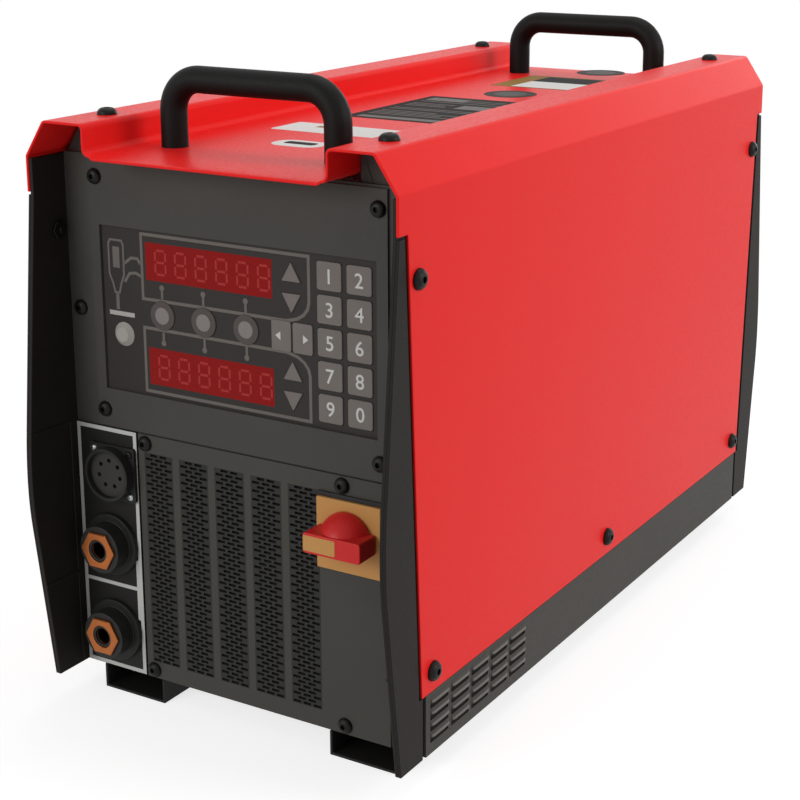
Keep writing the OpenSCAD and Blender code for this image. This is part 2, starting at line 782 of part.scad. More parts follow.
// Handle: a bent round tube on two legs, drilled from below for its bolts
module handle(y) {
    half = leg_spacing / 2;
    leg_h = grip_rise - bend_r;
    color(black) translate([0, y, tray_z]) difference() {
        union() {
            for (side = [0, 1]) mirror([side, 0, 0]) {
                translate([half, 0, 0]) cylinder(d = tube_d, h = leg_h);
                translate([half - bend_r, 0, leg_h]) rotate([90, 0, 0]) rotate_extrude(angle = 90)
                    translate([bend_r, 0]) circle(d = tube_d);
            }
            rod_x(tube_d, -half + bend_r, half - bend_r, 0, grip_rise);
        }
        for (side = [-1, 1]) translate([side * half, 0, -overrun])
            cylinder(d = bolt_d + hole_clear, h = bolt_reach + overrun);
    }
}

module front_handle() { handle(-handle_y); }

module rear_handle() { handle(handle_y); }

module handle_bolts() {
    color(black) at_handle_bolts() {
        translate([0, 0, -bolt_head_h]) cylinder(d = bolt_head_d, h = bolt_head_h);
        translate([0, 0, -bolt_head_h / 2]) cylinder(d = bolt_d, h = bolt_reach + bolt_head_h / 2);
    }
}

module cover_screws() {
    color(black) {
        for (side = [0, 1]) mirror([side, 0, 0]) translate([half_w, 0, 0]) at_side_screws()
            rotate([0, 90, 0]) button_screw(cover_head_d, cover_head_h, cover_thread_d, cover_thread_l);
        at_rail_screws() button_screw(cover_head_d, cover_head_h, cover_thread_d, cover_thread_l);
    }
}

// Places of the control plate's and grille panel's screws, in x and z
module at_front_screws() {
    for (side = [-1, 1]) for (z = [plate_seam_z + 2 * screw_inset, plate_top_z - 2 * screw_inset])
        translate([side * (plate_half_w - screw_inset), z]) children();
    for (x = [grille_left_x + screw_inset, switch_x - screw_inset])
        for (z = [plate_low_z + screw_inset, plate_split_low_z - screw_inset])
            translate([x, z]) children();
}

// Places of the screws that hold the wings' flanges
module at_margin_screws() {
    for (side = [-1, 1]) translate([side * margin_screw_x, margin_screw_z]) children();
}

// Places of the control socket's small screws
module at_control_screws() {
    offset_d = control_flange * control_screw_share;
    for (i = [-1, 1]) for (j = [-1, 1])
        translate([control_x + i * offset_d, control_z + j * offset_d]) children();
}

// Places of the rear plate's and the fan's screws
module at_rear_screws() {
    for (side = [-1, 1]) for (z = [plate_low_z + screw_inset, plate_top_z - screw_inset])
        translate([side * (plate_half_w - screw_inset), z]) children();
}

module at_fan_screws() {
    for (i = [-1, 1]) for (j = [-1, 1])
        translate([i * fan_side * fan_screw_share, fan_z + j * fan_side * fan_screw_share]) children();
}

// One screw of the panels, its thread through the given thickness of sheet
module panel_screw(sheets) {
    button_screw(panel_head_d, panel_head_h, panel_thread_d, sheets + thread_spare);
}

module panel_screws() {
    color(black) {
        translate([0, -plate_y, 0]) rotate([90, 0, 0]) at_front_screws() panel_screw(plate_t + panel_t);
        translate([0, -panel_y, 0]) rotate([90, 0, 0]) at_margin_screws() panel_screw(panel_t + wing_plate_t);
        translate([0, -plate_y - control_flange_t, 0]) rotate([90, 0, 0]) at_control_screws()
            button_screw(control_head_d, control_head_h, control_thread_d,
                control_flange_t + plate_t + panel_t);
        mirror([0, 1, 0]) {
            translate([0, -plate_y, 0]) rotate([90, 0, 0]) at_rear_screws() panel_screw(plate_t + panel_t);
            translate([0, -panel_y, 0]) rotate([90, 0, 0]) at_margin_screws()
                panel_screw(panel_t + wing_plate_t);
            translate([0, -plate_y - guard_wire_d, 0]) rotate([90, 0, 0]) at_fan_screws()
                button_screw(fan_head_d, fan_head_h, fan_thread_d,
                    guard_wire_d + plate_t + panel_t + fan_wall);
        }
    }
}

// Control plate with the keypad window
module control_plate() {
    color(dark_grey) across(-plate_y, -panel_y) difference() {
        rect(-plate_half_w, plate_split_high_z, plate_half_w, plate_top_z);
        translate([0, keypad_z]) square([keypad_w, keypad_h], center = true);
        at_front_screws() circle(d = panel_thread_d + hole_clear);
    }
}

// Outlines of the keys, each about its own middle, grown by the clearance around it
module number_outline(grow) { round_rect(key_w + 2 * grow, key_h + 2 * grow, key_corner); }

module arrow_outline(grow, way) { rotate(way * 90) circle(arrow_r + 2 * grow, $fn = 3); }

module select_outline(grow) { round_rect(select_w + 2 * grow, select_h + 2 * grow, key_corner); }

module mode_outline(grow) { circle(d = mode_d + 2 * grow); }

// Overlay: bonded behind the control plate, pierced for keys, windows and lamp
module keypad_overlay() {
    color(black) across(-overlay_y, -overlay_back_y) difference() {
        translate([0, keypad_z])
            square([keypad_w + 2 * overlay_lip, keypad_h + 2 * overlay_lip], center = true);
        for (col = [0, 1]) for (row = [0 : key_rows - 1])
            translate(number_place(col, row)) number_outline(clear);
        for (way = [-1, 1]) for (half = [-1, 1])
            translate([arrow_x, keypad_z + half * (way == half ? arrow_far : arrow_near)])
                arrow_outline(clear, way);
        for (side = [-1, 1]) translate(select_place(side)) select_outline(clear);
        for (i = [-1 : 1]) translate(mode_place(i)) mode_outline(clear);
        for (half = [-1, 1]) translate([display_x, keypad_z + half * display_rise])
            square([display_w + run_clear, display_h + run_clear], center = true);
        translate([lamp_x, keypad_z - lamp_drop]) circle(d = lamp_d + 2 * run_clear);
    }
}

// Display windows: tinted acrylic, flush in the overlay
module display_windows() {
    color([0.5, 0.09, 0.08]) across(-overlay_y, -overlay_back_y) for (half = [-1, 1])
        translate([display_x, keypad_z + half * display_rise]) square([display_w, display_h], center = true);
}

// Status lamp: a low dome with a stem down to the board
module status_lamp() {
    r = lamp_d / 2;
    crown_r = r * head_crown_share;
    color([0.75, 0.72, 0.68]) turned_y([[0, -overlay_y - lamp_rise], [crown_r, -overlay_y - lamp_rise],
        [r, -overlay_y], [r, -overlay_back_y], [crown_r, -overlay_back_y], [crown_r, -board_y],
        [0, -board_y]], lamp_x, keypad_z - lamp_drop);
}

// Control board on four spacers behind the overlay, with the display modules soldered to it
module control_board() {
    half_board_w = keypad_w / 2 - board_inset;
    half_board_h = keypad_h / 2 - board_inset;
    color([0.1, 0.35, 0.2]) {
        across(-board_y, -board_y + board_t) translate([0, keypad_z])
            square([2 * half_board_w, 2 * half_board_h], center = true);
        across(-overlay_back_y, -board_y + board_t / 2) for (half = [-1, 1])
            translate([display_x, keypad_z + half * display_rise])
                square([display_w, display_h], center = true);
        for (x = [board_spacer_d / 2 - half_board_w, (arrow_x + key_x) / 2]) for (j = [-1, 1])
            rod_y(board_spacer_d, -overlay_back_y, -board_y + board_t / 2,
                x, keypad_z + j * (half_board_h - board_spacer_d / 2));
    }
}

// One key cap, from its outline at its place
module key_cap(place) {
    color(key_grey) across(-key_front_y, -key_back_y) translate(place) children();
}

module number_key(name) {
    for (col = [0, 1]) for (row = [0 : key_rows - 1])
        if (key_order[row][col] == name) key_cap(number_place(col, row)) number_outline(0);
}

module arrow_key(half, way) {
    rise = half * (way == half ? arrow_far : arrow_near);
    key_cap([arrow_x, keypad_z + rise]) arrow_outline(0, way);
}

module select_key(side) { key_cap(select_place(side)) select_outline(0); }

module mode_button(i) { key_cap(mode_place(i)) mode_outline(0); }

// Grille panel with its strips of slots and the switch's hole
module grille_panel() {
    color(dark_grey) across(-plate_y, -panel_y) difference() {
        rect(grille_left_x, plate_low_z, plate_half_w, plate_split_low_z);
        for (i = [0 : strip_count - 1]) for (row = [0 : slot_rows - 1])
            translate([strip_x + i * strip_pitch, grille_low_z + row * slot_pitch])
                square([strip_w, slot_h]);
        translate([switch_x, switch_z]) circle(d = shaft_hole_d);
        at_front_screws() circle(d = panel_thread_d + hole_clear);
    }
}

module connector_plate() {
    color(black) across(-plate_y, -panel_y) difference() {
        rect(connector_left_x, plate_low_z, grille_left_x - plate_seam_gap, plate_split_low_z);
        translate([control_x, control_z]) circle(d = control_body_d + hole_clear);
        for (z = [weld_low_z, weld_high_z])
            translate([socket_x, z]) circle(d = weld_barrel_d + hole_clear);
        at_control_screws() circle(d = control_thread_d + hole_clear);
    }
}

// Control socket: square flange, open shell in front, body behind
module control_socket() {
    shell_y = -plate_y - control_flange_t - control_reach;
    color(black) difference() {
        union() {
            across(-plate_y - control_flange_t, -plate_y) difference() {
                translate([control_x, control_z])
                    round_rect(control_flange, control_flange, control_head_d / 2);
                at_control_screws() circle(d = control_thread_d + hole_clear);
            }
            rod_y(control_shell_d, shell_y, -plate_y - control_flange_t / 2, control_x, control_z);
            rod_y(control_body_d, -plate_y - control_flange_t / 2, -plate_y + control_body_l,
                control_x, control_z);
        }
        rod_y(control_shell_d - 2 * control_shell_wall, shell_y - overrun, -plate_y - control_flange_t,
            control_x, control_z);
    }
}

// Insert in the control socket, with its ring of pin holes
module control_insert() {
    insert_y = -plate_y - control_flange_t;
    color([0.3, 0.3, 0.3]) across(insert_y - control_insert_t, insert_y)
        translate([control_x, control_z]) difference() {
            circle(d = control_shell_d - 2 * control_shell_wall - 2 * run_clear);
            for (i = [0 : pin_count - 1])
                rotate(i * 360 / pin_count) translate([0, pin_ring_d / 2]) circle(d = pin_d);
        }
}

// Weld socket: insulating flange and barrel
module weld_socket(z) {
    front_y = -plate_y - weld_reach;
    back_y = -panel_back_y + weld_back_l;
    bore_r = contact_d / 2 + run_clear;
    color(black) turned_y([[bore_r, front_y], [weld_barrel_d / 2, front_y],
        [weld_barrel_d / 2, -plate_y - weld_flange_t], [weld_flange_d / 2, -plate_y - weld_flange_t],
        [weld_flange_d / 2, -plate_y], [weld_barrel_d / 2, -plate_y], [weld_barrel_d / 2, back_y],
        [bore_r, back_y]], socket_x, z);
}

module upper_weld_socket() { weld_socket(weld_high_z); }

module lower_weld_socket() { weld_socket(weld_low_z); }

// Contact: brass sleeve with a hexagonal rim in front, a bore for the plug's pin and a stud behind
module contact(z) {
    seat_y = -plate_y - weld_reach;
    rim_y = seat_y - contact_rim_t;
    color(brass) difference() {
        union() {
            across(rim_y, seat_y) translate([socket_x, z]) circle(d = contact_rim_d, $fn = 6);
            turned_y([[0, seat_y - contact_rim_t / 2], [contact_d / 2, seat_y - contact_rim_t / 2],
                [contact_d / 2, lug_y], [stud_d / 2, lug_y], [stud_d / 2, lug_y + stud_l],
                [0, lug_y + stud_l]], socket_x, z);
        }
        rod_y(weld_bore_d, rim_y - overrun, rim_y + weld_bore_l, socket_x, z);
    }
}

module upper_contact() { contact(weld_high_z); }

module lower_contact() { contact(weld_low_z); }

// Switch plate: the square rosette on the panel
module switch_plate() {
    color(tan_yellow) across(-plate_y - switch_plate_t, -plate_y)
        translate([switch_x, switch_z]) difference() {
            round_rect(switch_side, switch_side, switch_plate_corner);
            circle(d = shaft_d + 2 * run_clear);
        }
}

// Switch handle: round foot, grip bar across it, a seat for the lock slide, a blind bore for the shaft
module switch_handle() {
    color([0.75, 0.16, 0.15]) difference() {
        union() {
            rod_y(knob_d, knob_rim_y, knob_back_y, switch_x, switch_z);
            translate([switch_x, knob_rim_y, switch_z]) rotate([90, 0, 0])
                cylinder(d1 = knob_d, d2 = grip_w, h = knob_rim_y - grip_front_y - lock_d - knob_gap);
            across(grip_front_y, knob_rim_y) translate([switch_x, switch_z])
                round_rect(grip_l, grip_w, grip_w * grip_corner_share);
        }
        rod_y(shaft_d + run_clear, knob_face_y, knob_back_y + overrun, switch_x, switch_z);
        across(grip_front_y - overrun, grip_front_y + lock_d) lock_outline();
    }
}

// Outline of the lock slide, at the left end of the grip
module lock_outline() {
    translate([switch_x - grip_l / 2 + lock_edge, switch_z - lock_w / 2])
        square([grip_l * lock_share, lock_w]);
}

module lock_slide() {
    color(tan_yellow) across(grip_front_y, grip_front_y + lock_d) lock_outline();
}

module switch_shaft() {
    color("silver") rod_y(shaft_d, knob_face_y, -panel_back_y + switch_body_l * shaft_depth_share,
        switch_x, switch_z);
}

// Switch body behind the panel, with the bore that the shaft turns in
module switch_body() {
    color([0.15, 0.15, 0.17]) difference() {
        across(-panel_back_y, -panel_back_y + switch_body_l) translate([switch_x, switch_z])
            round_rect(switch_body_side, switch_body_side, switch_plate_corner);
        rod_y(shaft_d + 2 * run_clear, -panel_back_y - overrun, -panel_back_y + switch_body_l + overrun,
            switch_x, switch_z);
    }
}

module rear_plate() {
    color(dark_grey) across(panel_y, plate_y) difference() {
        rect(-plate_half_w, plate_low_z, plate_half_w, plate_top_z);
        translate([0, fan_z]) circle(d = fan_bore);
        for (col = [0 : rear_vent_cols - 1]) for (row = [0 : rear_vent_rows - 1])
            translate([col * (rear_vent_l + rear_vent_gap_x) - rear_vent_half_w,
                rear_vent_low_z + row * slot_pitch]) square([rear_vent_l, slot_h]);
        translate([gland_x, gland_z]) circle(d = gland_neck_d + hole_clear);
        at_rear_screws() circle(d = panel_thread_d + hole_clear);
        at_fan_screws() circle(d = fan_thread_d + hole_clear);
    }
}

// Fan guard: wire rings on two diagonal wires, with an eye at each corner
module fan_guard() {
    eye_r = fan_side * fan_screw_share * sqrt(2);
    wire_y = plate_y + guard_wire_d / 2;
    color("silver") difference() {
        union() {
            for (i = [1 : guard_ring_count]) translate([0, wire_y + guard_ring_lift, fan_z])
                rotate([90, 0, 0]) rotate_extrude()
                    translate([i * guard_pitch, 0]) circle(d = guard_wire_d, $fn = 16);
            for (turn = [45, 135]) translate([0, wire_y, fan_z]) rotate([0, turn, 0])
                cylinder(d = guard_wire_d, h = 2 * eye_r, center = true, $fn = 16);
            across(plate_y, plate_y + guard_wire_d) at_fan_screws() circle(d = fan_head_d + guard_wire_d);
        }
        across(plate_y - overrun, plate_y + guard_wire_d + overrun) at_fan_screws()
            circle(d = fan_thread_d + hole_clear);
    }
}

// Fan frame: square housing, round bore, motor on a spider of four arms, spindle towards the front
module fan_frame() {
    color([0.12, 0.12, 0.12]) {
        across(fan_back_y, panel_back_y) difference() {
            translate([0, fan_z]) round_rect(fan_side, fan_side, fan_wall);
            translate([0, fan_z]) circle(d = fan_bore);
            at_fan_screws() circle(d = fan_thread_d + hole_clear);
        }
        across(motor_y, panel_back_y) translate([0, fan_z]) {
            circle(d = motor_d);
            for (turn = [0, 90]) rotate(turn) square([fan_bore + fan_wall / 2, spider_w], center = true);
        }
        rod_y(spindle_d, hub_back_y - hub_h + axial_gap, motor_y + spider_t / 2, 0, fan_z);
    }
}

// Fan rotor: hub on the spindle and tilted blades
module fan_rotor() {
    tip_r = fan_bore / 2 - blade_gap;
    root_r = hub_d / 2 - blade_t;
    mid_y = hub_back_y - hub_h / 2;
    color([0.2, 0.2, 0.21]) difference() {
        union() {
            rod_y(hub_d, hub_back_y - hub_h, hub_back_y, 0, fan_z);
            translate([0, mid_y, fan_z]) for (i = [0 : blade_count - 1])
                rotate([0, i * 360 / blade_count, 0])
                intersection() {
                    rotate([0, 0, blade_tilt]) translate([-blade_chord / 2, -blade_t / 2, root_r])
                        cube([blade_chord, blade_t, tip_r]);
                    rotate([90, 0, 0]) cylinder(r = tip_r, h = hub_h, center = true);
                }
        }
        rod_y(spindle_d + 2 * run_clear, hub_back_y - hub_h - overrun, hub_back_y + overrun, 0, fan_z);
    }
}

// Mains gland: hex body and dome outside, threaded neck and nut inside
module mains_gland() {
    color(black) difference() {
        union() {
            across(plate_y, plate_y + gland_hex_t) translate([gland_x, gland_z])
                circle(d = gland_hex_d, $fn = 6);
            turned_y([[0, plate_y + gland_hex_t / 2], [gland_dome_d / 2, plate_y + gland_hex_t / 2],
                [gland_dome_d / 2, plate_y + gland_dome_l], [gland_neck_d / 2, gland_tip_y],
                [0, gland_tip_y]], gland_x, gland_z);
            rod_y(gland_neck_d, panel_back_y - 2 * gland_nut_t, plate_y + gland_hex_t / 2, gland_x, gland_z);
            across(panel_back_y - gland_nut_t, panel_back_y) translate([gland_x, gland_z])
                circle(d = gland_hex_d, $fn = 6);
        }
        rod_y(gland_bore_d, panel_back_y - 3 * gland_nut_t, gland_tip_y + overrun, gland_x, gland_z);
    }
}

// Heatsink: fins standing on the pan floor under a thick base
module heatsink() {
    fin_x = -(fin_count - 1) * fin_pitch / 2;
    color([0.7, 0.7, 0.72]) across(sink_front_y, sink_back_y) {
        rect(-sink_w / 2, sink_top_z - sink_base_t, sink_w / 2, sink_top_z);
        for (i = [0 : fin_count - 1]) translate([fin_x + i * fin_pitch, 0])
            rect(-fin_t / 2, floor_top_z, fin_t / 2, sink_top_z - sink_base_t / 2);
    }
}

// Power board on posts over the heatsink, with its capacitors
module power_board() {
    mid_y = (sink_front_y + sink_back_y) / 2;
    board_z = sink_top_z + board_post_h;
    color([0.12, 0.3, 0.2]) translate([0, mid_y, 0]) {
        translate([-board_half_x, -board_half_y, board_z])
            cube([2 * board_half_x, 2 * board_half_y, power_board_t]);
        for (i = [-1, 1]) for (j = [-1, 1])
            translate([i * (board_half_x - board_post_d), j * (board_half_y - board_post_d), sink_top_z])
                cylinder(d = board_post_d, h = board_post_h + power_board_t / 2);
        for (i = [0 : cap_cols - 1]) for (j = [0 : cap_rows - 1])
            translate([(i - (cap_cols - 1) / 2) * cap_pitch, (j - (cap_rows - 1) / 2) * cap_pitch,
                board_z + power_board_t / 2]) cylinder(d = cap_d, h = cap_h);
    }
}

// Transformer: a closed core across the case, with a winding on its middle
module transformer() {
    yoke = core_h * core_yoke_share;
    color([0.35, 0.3, 0.25]) translate([-core_l / 2, core_front_y, floor_top_z]) {
        difference() {
            cube([core_l, core_w, core_h]);
            translate([yoke, -overrun, yoke])
                cube([core_l - 2 * yoke, core_w + 2 * overrun, core_h - 2 * yoke]);
        }
        translate([2 * yoke, -winding_overhang, yoke / 2])
            cube([core_l - 4 * yoke, core_w + 2 * winding_overhang, core_h - yoke]);
    }
}

// Output choke: a wound ring on a plinth, with a terminal to its busbar
module output_choke() {
    ring_r = (choke_d - choke_ring_d) / 2;
    color([0.6, 0.38, 0.2]) {
        translate([choke_x, choke_y, floor_top_z])
            cylinder(d = choke_d - choke_ring_d, h = choke_plinth_h + choke_ring_d / 4);
        translate([choke_x, choke_y, choke_z]) {
            rotate_extrude() translate([ring_r, 0]) circle(d = choke_ring_d);
            translate([bar_in_x - choke_x, -terminal_w / 2, -terminal_w / 2])
                cube([choke_x - ring_r - bar_in_x, terminal_w, terminal_w]);
        }
    }
}

// One busbar: a lug on the contact's stud, and an upright bar behind it, from bar_z up, as far as y_end
module busbar(stud_z, bar_z, y_end) {
    difference() {
        union() {
            across(lug_y, lug_y + bar_t) rect(socket_x - lug_w / 2, min(stud_z - lug_w / 2, bar_z),
                socket_x + lug_w / 2, max(stud_z + lug_w / 2, bar_z + bar_h));
            translate([bar_in_x - bar_t, lug_y + bar_t - bar_lap, bar_z])
                cube([bar_t, y_end - lug_y - bar_t + bar_lap, bar_h]);
        }
        rod_y(stud_d + hole_clear, lug_y - overrun, lug_y + stud_l + overrun, socket_x, stud_z);
    }
}

// Busbars: from the upper contact to a foot on the heatsink's base, from the lower one to the choke
module busbars() {
    color([0.72, 0.43, 0.25]) {
        busbar(weld_high_z, sink_top_z, sink_front_y + foot_l);
        translate([bar_in_x - bar_t / 2, sink_front_y, sink_top_z])
            cube([-sink_w / 2 + foot_lap - bar_in_x + bar_t / 2, foot_l, bar_t]);
        busbar(weld_low_z, choke_z - bar_h / 2, choke_y + terminal_w);
    }
}

base_pan();
skids();
front_frame();
rear_frame();
front_wings();
rear_wings();
rail_brackets();
cover();
front_handle();
rear_handle();
handle_bolts();
cover_screws();
panel_screws();
control_plate();
keypad_overlay();
display_windows();
status_lamp();
control_board();
number_key("0");  // key_0
number_key("1");  // key_1
number_key("2");  // key_2
number_key("3");  // key_3
number_key("4");  // key_4
number_key("5");  // key_5
number_key("6");  // key_6
number_key("7");  // key_7
number_key("8");  // key_8
number_key("9");  // key_9
arrow_key(1, 1);  // upper_up_key
arrow_key(1, -1);  // upper_down_key
arrow_key(-1, 1);  // lower_up_key
arrow_key(-1, -1);  // lower_down_key
select_key(-1);  // left_select_key
select_key(1);  // right_select_key
mode_button(-1);  // left_mode_button
mode_button(0);  // middle_mode_button
mode_button(1);  // right_mode_button
grille_panel();
connector_plate();
control_socket();
control_insert();
upper_weld_socket();
lower_weld_socket();
upper_contact();
lower_contact();
switch_plate();
switch_handle();
lock_slide();
switch_shaft();
switch_body();
rear_plate();
fan_guard();
fan_frame();
fan_rotor();
mains_gland();
heatsink();
power_board();
transformer();
output_choke();
busbars();
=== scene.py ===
import math

import bmesh
import bpy
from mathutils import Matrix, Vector


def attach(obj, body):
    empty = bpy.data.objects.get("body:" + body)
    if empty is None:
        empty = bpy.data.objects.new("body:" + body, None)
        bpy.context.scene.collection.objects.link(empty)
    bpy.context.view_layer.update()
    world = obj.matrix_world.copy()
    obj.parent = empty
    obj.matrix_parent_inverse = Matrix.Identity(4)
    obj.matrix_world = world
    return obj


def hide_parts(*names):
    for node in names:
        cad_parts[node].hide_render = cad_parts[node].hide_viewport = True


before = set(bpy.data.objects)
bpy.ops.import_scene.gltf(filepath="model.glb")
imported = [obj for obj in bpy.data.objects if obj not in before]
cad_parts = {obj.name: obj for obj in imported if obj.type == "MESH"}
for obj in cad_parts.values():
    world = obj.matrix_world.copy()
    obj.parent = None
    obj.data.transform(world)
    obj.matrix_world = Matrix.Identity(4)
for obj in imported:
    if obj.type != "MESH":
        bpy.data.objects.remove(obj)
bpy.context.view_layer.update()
scene = bpy.context.scene


# Camera: a long lens in front and to the right of the welder, a little above its rails.
# The small shift keeps the uprights nearly parallel, as on a product picture.
camera_dip, camera_turn = 14.533, 30.598
camera_data = bpy.data.cameras.new("camera")
camera_data.sensor_width = 36
camera_data.lens = 76.87
camera_data.shift_x = -0.0375
camera_data.shift_y = -0.1125
camera = bpy.data.objects.new("camera", camera_data)
camera.location = (0.7236, -1.2494, 0.6367)
camera.rotation_euler = (math.radians(90 - camera_dip), 0, math.radians(camera_turn))
scene.collection.objects.link(camera)
scene.camera = camera


# Base pan, skids, end frames, rear plate and rail brackets: folded steel sheet, spot welded and
# screwed together. All have a dark grey powder coat, except the skids, which are black.
def linear(code):
    """The linear colour of an sRGB hex value."""
    parts = [int(code[i:i + 2], 16) / 255 for i in (0, 2, 4)]
    return [c / 12.92 if c <= 0.04045 else ((c + 0.055) / 1.055) ** 2.4 for c in parts] + [1.0]


def bare_tree(owner):
    """The empty node tree of a material or of the world."""
    owner.use_nodes = True
    owner.node_tree.nodes.clear()
    return owner.node_tree


def put(tree, kind, inputs=None, **settings):
    """Adds a node with its settings, and puts a value or a link on each input that is named."""
    made = tree.nodes.new(kind)
    for name, value in settings.items():
        setattr(made, name, value)
    for name, value in (inputs or {}).items():
        if isinstance(value, bpy.types.NodeSocket):
            tree.links.new(value, made.inputs[name])
        else:
            made.inputs[name].default_value = value
    return made


def finish(name, dark, light, patch_mm, grit_mm, depth_mm, roughness, specular=0.2, **inputs):
    """A surface that drifts between two near tones, with a grit in its bump and in its gloss.

    The white room stands all round, so the specular level is low, as a gritty face mirrors it.
    Most real grits are well under a millimetre, and are drawn coarser here so that they show.
    """
    material = bpy.data.materials.new(name)
    tree = bare_tree(material)
    place = put(tree, "ShaderNodeTexCoord").outputs["Object"]
    drift = put(tree, "ShaderNodeTexNoise", {"Vector": place, "Scale": 1000 / patch_mm, "Detail": 3.0})
    grit = put(tree, "ShaderNodeTexNoise", {"Vector": place, "Scale": 1000 / grit_mm, "Detail": 2.0})
    share = put(tree, "ShaderNodeMix", {"Factor": 0.4, 2: drift.outputs["Fac"], 3: grit.outputs["Fac"]})
    tone = put(tree, "ShaderNodeMix", {"Factor": share.outputs[0], 6: linear(dark), 7: linear(light)},
               data_type="RGBA")
    spread = 0.06
    gloss = put(tree, "ShaderNodeMapRange", {
        "Value": grit.outputs["Fac"], "From Min": 0.3, "From Max": 0.7,
        "To Min": roughness - spread, "To Max": roughness + spread})
    bump = put(tree, "ShaderNodeBump", {
        "Height": grit.outputs["Fac"], "Strength": 1.0, "Distance": depth_mm / 1000})
    shader = put(tree, "ShaderNodeBsdfPrincipled", {
        "Base Color": tone.outputs[2], "Roughness": gloss.outputs[0], "Normal": bump.outputs["Normal"],
        "Specular IOR Level": specular, **inputs})
    put(tree, "ShaderNodeOutputMaterial", {"Surface": shader.outputs["BSDF"]})
    return material


def dress(material, *names):
    """Gives solids that are carried over their material."""
    for name in names:
        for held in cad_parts[name].material_slots:
            held.material = material


# A textured coat: its grit of about 0.5 mm, drawn at 2.4 mm, breaks the highlight and looks matt.
grey_coat = finish("grey_textured_powder_coat", "3a3936", "484642", patch_mm=60, grit_mm=2.4,
                   depth_mm=0.12, roughness=0.62, IOR=1.5)
dress(grey_coat, "base_pan", "rail_brackets", "front_frame", "rear_frame", "rear_plate")
# A finer black coat, so dark and matt that only its edges catch the light.
black_coat = finish("black_matt_powder_coat", "151413", "1e1c1b", patch_mm=50, grit_mm=2.0,
                    depth_mm=0.08, roughness=0.6, IOR=1.5)
dress(black_coat, "skids")


def soften(made, width_mm, angle=40, segments=2):
    """Rounds the edges that are sharper than the angle, and keeps the large faces flat to the eye."""
    edge = made.modifiers.new("edge", "BEVEL")
    edge.width = width_mm / 1000
    edge.segments = segments
    edge.limit_method = "ANGLE"
    edge.angle_limit = math.radians(angle)
    flat = made.modifiers.new("flat_faces", "WEIGHTED_NORMAL")
    flat.keep_sharp = True
    return made


def ease(width_mm, *names):
    """Breaks the sharp edges of solids that are carried over, as deburring and a coat do."""
    for name in names:
        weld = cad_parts[name].modifiers.new("joined", "WELD")
        weld.merge_threshold = 0.000001
        soften(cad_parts[name], width_mm)


ease(0.5, "skids", "rail_brackets")


# Cover: one steel sheet folded into two side walls, two slopes, two rails and a sunken tray, and
# screwed on. The front and rear edges of the tray are rolled down, and the walls end further back
# than the hood above them.
def metres(*point):
    return [c / 1000 for c in point]


def mesh_of(work, name):
    """Ends the work on a bmesh, and gives it as a plain mesh."""
    made = bpy.data.meshes.new(name)
    work.to_mesh(made)
    work.free()
    return made


def object_of(name, data):
    made = bpy.data.objects.new(name, data)
    scene.collection.objects.link(made)
    return made


def piece(name, mesh, material, slot, body="case", stands_for=()):
    """An object on its body, with its material, in place of the solids that it stands for. Its slot is not
    used.
    """
    made = object_of(name, mesh)
    if material:
        mesh.materials.clear()
        mesh.materials.append(material)
    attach(made, body)
    if stands_for:
        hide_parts(*stands_for)
    return made


def backed(made, thick_mm):
    """Gives a sheet its thickness, behind its face."""
    wall = made.modifiers.new("sheet", "SOLIDIFY")
    wall.thickness = thick_mm / 1000
    wall.offset = -1
    return made


def arc(corner, before, after, radius, steps):
    """Points of a round bend of that radius in place of a sharp corner, in two dimensions."""
    c, a, b = Vector(corner), Vector(before), Vector(after)
    u, v = (a - c).normalized(), (b - c).normalized()
    half = u.angle(v) / 2
    reach = radius / math.tan(half)
    middle = c + (u + v).normalized() * radius / math.sin(half)
    start, stop, turn = c + u * reach - middle, c + v * reach - middle, math.pi - 2 * half
    if start.x * stop.y - start.y * stop.x < 0:
        turn = -turn
    points = []
    for i in range(steps + 1):
        s, k = math.sin(turn * i / steps), math.cos(turn * i / steps)
        points.append((middle.x + start.x * k - start.y * s, middle.y + start.x * s + start.y * k))
    return points


wall_x, wall_foot, wall_top = 160, 68, 406
slope_foot, slope_x, rail_x, rail_z, tray_z = 433, 142, 104, 460, 438
bend_r, bend_steps, sheet_t, tray_rows = 4.5, 6, 2, (96, 40)
corners = [(wall_x, wall_foot), (wall_x, slope_foot), (slope_x, rail_z), (rail_x, rail_z),
           (rail_x, tray_z), (0, tray_z)]
half_profile = [corners[0], (wall_x, wall_top)]
for before, corner, after in zip(corners, corners[1:], corners[2:]):
    half_profile += arc(corner, before, after, bend_r, bend_steps)
half_profile += [(x, tray_z) for x in tray_rows]
profile = half_profile + [(-x, z) for x, z in reversed(half_profile)]
# The rolled edge runs across the tray only: its places along Y, and how far it drops there.
wall_low_end, wall_high_end, roll_half_w = 307, 324, 97
roll = [(336, 2.3), (334.6, 1.85), (333, 1.5), (wall_high_end, 0.95), (303, 0.1), (298, 0)]
at_wall = [y for y, drop in roll].index(wall_high_end)
cover = bmesh.new()
rows = []
for x, z in profile:
    ends = [(wall_low_end, 0)] if z < wall_top else roll
    share = 1 if abs(x) < roll_half_w else 0
    line = [(-y, z - drop * share) for y, drop in ends]
    line += [(y, z - drop * share) for y, drop in reversed(ends)]
    rows.append([cover.verts.new(metres(x, y, h)) for y, h in line])
for low, high in zip(rows, rows[1:]):
    if len(low) == len(high):
        for i in range(len(low) - 1):
            cover.faces.new((low[i], low[i + 1], high[i + 1], high[i]))
    else:
        wall = [row if len(row) == 2 else row[at_wall:-at_wall] for row in (low, high)]
        cover.faces.new(wall[0] + wall[1][::-1])
for face in cover.faces:
    face.smooth = True
